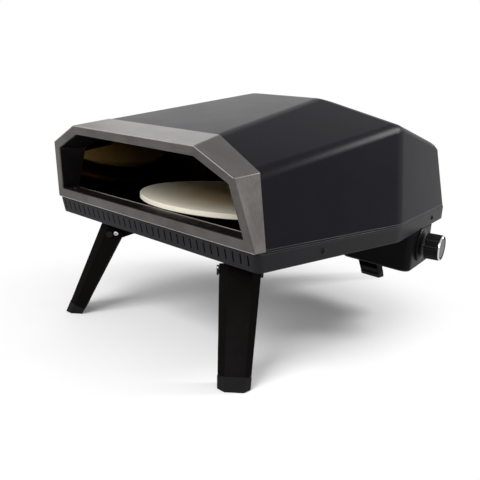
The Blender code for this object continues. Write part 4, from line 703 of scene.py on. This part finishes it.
class OVEN_OT_hood(bpy.types.Operator):
    """Press the hood's sheet, paint it and its folded hem, and show the blanket and lining"""
    bl_idname = "oven.finish_hood"
    bl_label = "Hood and lining"

    def execute(self, context):
        colours, relief = context.scene.oven_colours, context.scene.oven_relief
        coat = powder_coat("hood_powder_coat", colours.hood, relief, roughness=0.31, ior=1.085)
        sheet = self.press_shell(coat)
        # Brown metallic tint on the lining: a painted warm reflection
        enamel = gloss_enamel("chamber_enamel", colours.enamel, roughness=0.08, ior=1.5,
                              metallic=1.0)
        dress(enamel, "liner", "floor_plate")
        dress(fibre_blanket("mineral_blanket", colours.blanket), "insulation")
        gloss = powder_coat("hem_gloss_coat", colours.hood, relief, roughness=0.3, ior=1.3)
        trim = context.scene.oven_trim
        self.fold_line("hood_hem_foot", gloss, sheet.copy(), 0.0, trim)
        self.fold_line("hood_hem_top", gloss, sheet, trim.hem_height - trim.hem_line, trim)
        return {"FINISHED"}

    def press_shell(self, coat):
        """The hood with the soft bends of a pressed sheet. Gives a copy of its outer face."""
        shell = add_piece("hood_shell", hood_cage(), coat)
        bend = shell.modifiers.new("bends", "BEVEL")
        bend.limit_method = "WEIGHT"
        bend.width = HOOD_WIDEST_BEND * MM
        bend.segments = HOOD_BEND_STEPS
        outer = bmesh.new()
        outer.from_object(shell, bpy.context.evaluated_depsgraph_get())
        thicken(shell, HOOD_SHEET)
        shade_round(shell)
        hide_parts("hood")
        return outer

    def fold_line(self, name, coat, skin, foot, trim):
        """A rounded line of the fold along the hood's foot."""
        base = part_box("hood")[0].z + foot
        trim_to(skin, (0, 0, base + trim.hem_line), (0, 0, 1))
        trim_to(skin, (0, 0, base), (0, 0, -1))
        lift(skin, trim.hem_proud)
        line = add_piece(name, skin, coat)
        thicken(line, trim.hem_proud * HEM_SHARE)
        shade_round(line)


class OVEN_OT_bezel(bpy.types.Operator):
    """Paint the frame round the mouth, paint highlights on its edges and line its return"""
    bl_idname = "oven.finish_bezel"
    bl_label = "Mouth bezel"

    def execute(self, context):
        colours, relief = context.scene.oven_colours, context.scene.oven_relief
        dress(metallic_paint("bezel_metallic_paint", colours.bezel, relief), "bezel")
        low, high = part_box("bezel")
        self.middle = Vector((STONE_AXIS.x, 0, (low.z + high.z) / 2))
        self.line_mouth(colours, relief, context.scene.oven_trim)
        self.paint_edge_highlights(colours, relief, context.scene.oven_trim)
        return {"FINISHED"}

    def paint_edge_highlights(self, colours, relief, trim):
        """The narrow rounds beside the front face, in a lighter metal: a painted highlight for the
        light they catch.
        """
        skin = node_skin("bezel")

        # Picks the outer and upward rounds that get the painted highlight
        def takes_painted_highlight(face):
            away = face.calc_center_median() - self.middle
            outer = face.normal.x * away.x + face.normal.z * away.z > 0
            upright = abs(face.normal.x) > HARDLY and abs(face.normal.z) < HARDLY
            beside = HARDLY < face.normal.dot(BEZEL_AHEAD) < FLAT_AHEAD
            return beside and not upright and (outer or face.normal.z > UPWARD)

        keep_faces(skin, takes_painted_highlight)
        lift(skin, trim.edge_lift)
        # Lighter metal on the rounds: a painted highlight
        bright = brushed_metal("bezel_edge_painted_highlight", colours.bezel_edge_highlight, relief, roughness=0.3,
                               along=LINES_ACROSS)
        thicken(add_piece("bezel_painted_highlights", skin, bright),
                trim.edge_lift * EDGE_SHARE)

    def line_mouth(self, colours, relief, trim):
        """Black lining on the return, and the rolled edge behind the sill, whose light metal is a
        painted highlight.
        """
        low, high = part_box("bezel")
        skin = node_skin("bezel")
        tree = BVHTree.FromBMesh(skin)
        foot_back = BEZEL_SLANT * (high.z - low.z - BEZEL_CROWN_DROP)
        front = Vector((0, low.y + foot_back, low.z))

        def faces_mouth(face):
            spot = face.calc_center_median()
            inward = Vector((self.middle.x - spot.x, 0, self.middle.z - spot.z))
            if abs(face.normal.y) > HARDLY or face.normal.dot(inward) < 0:
                return False
            reach = tree.ray_cast(spot + face.normal * NEAR, face.normal)[3]
            return reach is None or reach > MOUTH_LEAST

        keep_faces(skin, faces_mouth)
        trim_to(skin, front - BEZEL_AHEAD * trim.lip_back, BEZEL_AHEAD)
        sill = min(vertex.co.z for vertex in skin.verts)
        rear = max(vertex.co.y for vertex in skin.verts)
        side = max(vertex.co.x for vertex in skin.verts if vertex.co.z < sill + NEAR)
        lift(skin, trim.lip_stand)
        lining = gloss_enamel("mouth_lining", colours.lip, roughness=0.22, ior=1.2)
        thicken(add_piece("mouth_lip", skin, lining), trim.lip_sheet)
        # Light metal on the rolled edge behind the sill: a painted highlight
        edge_highlight_metal = brushed_metal("sill_highlight_metal", colours.sill_edge_highlight, relief, roughness=0.34,
                             along=LINES_ACROSS)
        radius = trim.edge_radius
        right = Vector((side - radius * 2, rear - radius, sill + radius))
        left = Vector((2 * STONE_AXIS.x - right.x, right.y, right.z))
        add_piece("sill_edge_highlight", rolled_edge(left, right, radius), edge_highlight_metal)


class OVEN_OT_tray(bpy.types.Operator):
    """Paint the base tray and the control box"""
    bl_idname = "oven.finish_tray"
    bl_label = "Base tray"

    def execute(self, context):
        colours, relief = context.scene.oven_colours, context.scene.oven_relief
        base = powder_coat("tray_powder_coat", colours.tray, relief, roughness=0.45, ior=1.17)
        dress(base, "base_tray")
        box = powder_coat("box_powder_coat", colours.plastic, relief, roughness=0.4, ior=1.14)
        dress(box, "control_box")
        return {"FINISHED"}


class OVEN_OT_stone(bpy.types.Operator):
    """Give the baking stone its pores and the turntable its steel"""
    bl_idname = "oven.finish_stone"
    bl_label = "Stone and turntable"

    def execute(self, context):
        colours, relief = context.scene.oven_colours, context.scene.oven_relief
        dress(cordierite("cordierite_stone", colours, relief), "stone")
        steel = brushed_metal("turntable_steel", colours.steel, relief, roughness=0.38)
        dress(steel, "turntable", "drive_shaft")
        return {"FINISHED"}


class OVEN_OT_drive(bpy.types.Operator):
    """Finish the gears, motor, its housing, switch and cells"""
    bl_idname = "oven.finish_drive"
    bl_label = "Drive"

    def execute(self, context):
        colours, relief = context.scene.oven_colours, context.scene.oven_relief
        nylon = moulded_plastic("gear_nylon", colours.nylon, relief, roughness=0.45)
        dress(nylon, "output_gear", "motor_pinion")
        dress(brushed_metal("bush_brass", colours.brass, relief, roughness=0.3), "shaft_bush")
        dress(brushed_metal("motor_can_steel", colours.steel, relief, roughness=0.32), "motor")
        housing = moulded_plastic("housing_plastic", colours.plastic, relief, roughness=0.5)
        dress(housing, "motor_housing", "battery_door")
        rocker = moulded_plastic("switch_plastic", colours.plastic, relief, roughness=0.3)
        dress(rocker, "motor_switch")
        sleeve = moulded_plastic("cell_sleeve", colours.cell, relief, roughness=0.28)
        dress(sleeve, "battery_left", "battery_right")
        return {"FINISHED"}


class OVEN_OT_burner(bpy.types.Operator):
    """Finish the burner, guard, probes and gas pipes"""
    bl_idname = "oven.finish_burner"
    bl_label = "Burner and gas"

    def execute(self, context):
        colours, relief = context.scene.oven_colours, context.scene.oven_relief
        heated = brushed_metal("burner_steel", shaded(colours.steel, share=0.7), relief,
                               roughness=0.4, along=LINES_ACROSS, spread=0.25)
        dress(heated, "burner_tube", "flame_guard", "gas_riser", "gas_feed", "thermocouple")
        ceramic = moulded_plastic("igniter_ceramic", colours.ceramic, relief, roughness=0.25)
        dress(ceramic, "igniter")
        brass = brushed_metal("valve_brass", colours.brass, relief, roughness=0.3)
        dress(brass, "gas_valve", "gas_inlet")
        dress(brushed_metal("stem_steel", colours.steel, relief, roughness=0.3), "valve_stem")
        return {"FINISHED"}


class OVEN_OT_knob(bpy.types.Operator):
    """Finish the control knob, its plate, ring and face"""
    bl_idname = "oven.finish_knob"
    bl_label = "Control knob"

    def execute(self, context):
        colours, relief = context.scene.oven_colours, context.scene.oven_relief
        grip = moulded_plastic("knob_plastic", colours.plastic, relief, roughness=0.36, ior=1.13)
        dress(grip, "knob", "knob_plate")
        chrome = brushed_metal("knob_ring_chrome", colours.ring, relief, roughness=0.12,
                               spread=0.05)
        dress(chrome, "knob_ring")
        satin = brushed_metal("knob_face_satin", colours.knob_face, relief, roughness=0.34)
        dress(satin, "knob_face")
        self.sink_groove(colours, relief, context.scene.oven_trim)
        return {"FINISHED"}

    def sink_groove(self, colours, relief, trim):
        """The black groove between the knob's ring and its face."""
        face = TurnedShape("knob_face")
        outward = sum(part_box("knob_face"), Vector()) - sum(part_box("knob"), Vector())
        side = 1 if face.place.col[2].to_3d().dot(outward) > 0 else -1
        top = face.top if side > 0 else -face.bottom
        outer = face.head_radius
        inner = outer - trim.groove_width
        low, high = side * (top - trim.edge_lift), side * (top + trim.edge_lift)
        groove = lathe(((inner, low), (inner, high), (outer, high), (outer, low)),
                       GROOVE_SIDES, ring=True)
        groove.transform(face.place)
        black = moulded_plastic("groove_plastic", colours.plastic, relief, roughness=0.5, ior=1.1)
        add_piece("knob_groove", groove, black, "gas_knob")


class OVEN_OT_legs(bpy.types.Operator):
    """Finish the legs, brackets, feet and their screws"""
    bl_idname = "oven.finish_legs"
    bl_label = "Legs"

    def execute(self, context):
        colours, relief = context.scene.oven_colours, context.scene.oven_relief
        enamel = gloss_enamel("leg_enamel", colours.leg, roughness=0.16, ior=1.065)
        dress(enamel, *(part + tag for part in ("leg_", "bracket_") for tag in LEG_TAGS))
        rubber = moulded_plastic("foot_rubber", colours.rubber, relief, roughness=0.6, ior=1.16)
        dress(rubber, *("foot_" + tag for tag in LEG_TAGS))
        dark = brushed_metal("bolt_steel", colours.dark_screw, relief, roughness=0.35)
        dress(dark, *("pivot_bolt_" + tag for tag in LEG_TAGS))
        bright = brushed_metal("lock_screw_chrome", colours.bright, relief, roughness=0.16,
                               spread=0.05)
        for tag in LEG_TAGS:
            crossed_screw("lock_pin_" + tag, bright, context.scene.oven_trim,
                          "lock_" + tag)
        return {"FINISHED"}


class OVEN_OT_screws(bpy.types.Operator):
    """Cut and finish the small screws of the sill and base"""
    bl_idname = "oven.finish_screws"
    bl_label = "Small screws"

    def execute(self, context):
        colours, relief = context.scene.oven_colours, context.scene.oven_relief
        dark = powder_coat("screw_black_coat", colours.tray, relief, roughness=0.4, ior=1.2)
        for place in ("sill", "side", "rear"):
            for side in ("left", "right"):
                crossed_screw(place + "_screw_" + side, dark, context.scene.oven_trim)
        return {"FINISHED"}


def floor_paper(name, share, reach):
    """White paper that keeps a soft shadow near the oven and fades into the white backdrop."""
    material = bpy.data.materials.new(name)
    material.use_nodes = True
    tree = material.node_tree
    tree.nodes.clear()
    place = tree.nodes.new("ShaderNodeTexCoord").outputs["Object"]
    away = add_node(tree, "ShaderNodeVectorMath", {0: place}, "LENGTH")
    fade = add_node(tree, "ShaderNodeMapRange", {
        "Value": away.outputs["Value"], "From Min": FLOOR_NEAR, "From Max": reach,
        "To Min": 1.0 - share})
    fade.interpolation_type = "SMOOTHSTEP"
    clouds = add_node(tree, "ShaderNodeTexNoise", {"Vector": place, "Scale": 1.0 / PAPER_CLOUDS})
    shade = add_node(tree, "ShaderNodeValToRGB", {"Fac": clouds.outputs["Fac"]})
    for end, grey in zip(shade.color_ramp.elements, PAPER_SHADES):
        end.color = (grey, grey, grey, 1.0)
    paper = add_node(tree, "ShaderNodeBsdfDiffuse", {"Color": shade.outputs["Color"]})
    glow = add_node(tree, "ShaderNodeEmission", {"Strength": seen_or_mirrored(tree, FLOOR_GLOW)})
    mix = add_node(tree, "ShaderNodeMixShader", {
        "Fac": fade.outputs["Result"], 1: paper.outputs["BSDF"], 2: glow.outputs["Emission"]})
    add_node(tree, "ShaderNodeOutputMaterial", {"Surface": mix.outputs["Shader"]})
    return material


def seen_or_mirrored(tree, dim):
    """1 for rays that see the backdrop straight, in a gloss or through glass, else dim."""
    path = tree.nodes.new("ShaderNodeLightPath")
    value = path.outputs["Is Camera Ray"]
    for kind in ("Is Glossy Ray", "Is Transmission Ray"):
        larger = add_node(tree, "ShaderNodeMath", {0: value, 1: path.outputs[kind]}, "MAXIMUM")
        value = larger.outputs["Value"]
    raised = add_node(tree, "ShaderNodeMapRange", {"Value": value, "To Min": dim})
    return raised.outputs["Result"]


def soft_lamp(name, power, size):
    """A square soft lamp aimed at the oven."""
    light = bpy.data.lights.new(name, "AREA")
    light.energy, light.size = power, size
    lamp = add_object(name, light)
    lamp.location = STONE_AXIS + Vector(LAMP_PLACES[name])
    aim = STONE_AXIS + LAMP_AIM - lamp.location
    lamp.rotation_euler = aim.to_track_quat("-Z", "Y").to_euler()


class OVEN_OT_stage(bpy.types.Operator):
    """Lay the floor and set the lamps, the world and the camera"""
    bl_idname = "oven.set_stage"
    bl_label = "Stage and camera"

    def execute(self, context):
        stage = context.scene.oven_stage
        self.lay_floor(stage)
        soft_lamp("key_lamp", stage.key_power, stage.lamp_size)
        soft_lamp("back_lamp", stage.back_power, stage.lamp_size)
        soft_lamp("low_lamp", stage.low_power, stage.low_size)
        soft_lamp("side_lamp", stage.side_power, stage.low_size)
        soft_lamp("rim_lamp", stage.rim_power, stage.low_size)
        self.light_world(context, stage)
        self.place_camera(context, stage)
        context.scene.view_settings.view_transform = "Standard"
        return {"FINISHED"}

    def lay_floor(self, stage):
        disc = bmesh.new()
        bmesh.ops.create_circle(disc, cap_ends=True, segments=stage.floor_steps,
                                radius=stage.floor_radius)
        mesh = mesh_of("floor", disc)
        mesh.materials.append(floor_paper("floor_paper", stage.shadow_share, stage.shadow_reach))
        floor = add_object("floor", mesh)
        floor.location = STONE_AXIS

    def light_world(self, context, stage):
        world = bpy.data.worlds.new("studio")
        world.use_nodes = True
        sky = world.node_tree.nodes["Background"]
        sky.inputs["Color"].default_value = WHITE
        strength = seen_or_mirrored(world.node_tree, stage.sky)
        world.node_tree.links.new(strength, sky.inputs["Strength"])
        context.scene.world = world

    def place_camera(self, context, stage):
        turn, rise, roll = stage.azimuth, stage.elevation, stage.roll
        back = Vector((math.sin(turn) * math.cos(rise), -math.cos(turn) * math.cos(rise),
                       math.sin(rise)))
        right = Vector((math.cos(turn), math.sin(turn), 0))
        up = back.cross(right)
        across = right * math.cos(roll) + up * math.sin(roll)
        upright = up * math.cos(roll) - right * math.sin(roll)
        data = bpy.data.cameras.new("photo_camera")
        data.lens, data.sensor_width = stage.lens, stage.sensor
        camera = add_object("photo_camera", data)
        place = STONE_AXIS + Vector((stage.camera_right, -stage.camera_ahead,
                                     stage.camera_height))
        turned = Matrix((across, upright, back)).transposed().to_4x4()
        camera.matrix_world = Matrix.Translation(place) @ turned
        context.scene.camera = camera


class OVEN_PT_panel(bpy.types.Panel):
    """Lists the oven's operators and settings"""
    bl_idname = "OVEN_PT_panel"
    bl_label = "Pizza Oven"
    bl_space_type = "VIEW_3D"
    bl_region_type = "UI"
    bl_category = "Oven"

    def draw(self, context):
        for operator in OPERATORS:
            self.layout.operator(operator.bl_idname)
        scene = context.scene
        for group in (scene.oven_colours, scene.oven_relief, scene.oven_trim, scene.oven_stage):
            box = self.layout.box()
            for name in group.__annotations__:
                box.prop(group, name)


OPERATORS = (OVEN_OT_hood, OVEN_OT_bezel, OVEN_OT_tray, OVEN_OT_stone, OVEN_OT_drive,
             OVEN_OT_burner, OVEN_OT_knob, OVEN_OT_legs, OVEN_OT_screws, OVEN_OT_stage)
CLASSES = (OvenColours, OvenRelief, OvenTrim, OvenStage, *OPERATORS, OVEN_PT_panel)


def register():
    for item in CLASSES:
        bpy.utils.register_class(item)
    bpy.types.Scene.oven_colours = PointerProperty(type=OvenColours)
    bpy.types.Scene.oven_relief = PointerProperty(type=OvenRelief)
    bpy.types.Scene.oven_trim = PointerProperty(type=OvenTrim)
    bpy.types.Scene.oven_stage = PointerProperty(type=OvenStage)


def unregister():
    del bpy.types.Scene.oven_stage
    del bpy.types.Scene.oven_trim
    del bpy.types.Scene.oven_relief
    del bpy.types.Scene.oven_colours
    for item in reversed(CLASSES):
        bpy.utils.unregister_class(item)


def main():
    register()
    bpy.ops.oven.finish_hood()
    bpy.ops.oven.finish_bezel()
    bpy.ops.oven.finish_tray()
    bpy.ops.oven.finish_stone()
    bpy.ops.oven.finish_drive()
    bpy.ops.oven.finish_burner()
    bpy.ops.oven.finish_knob()
    bpy.ops.oven.finish_legs()
    bpy.ops.oven.finish_screws()
    bpy.ops.oven.set_stage()


if __name__ == "__main__":
    main()
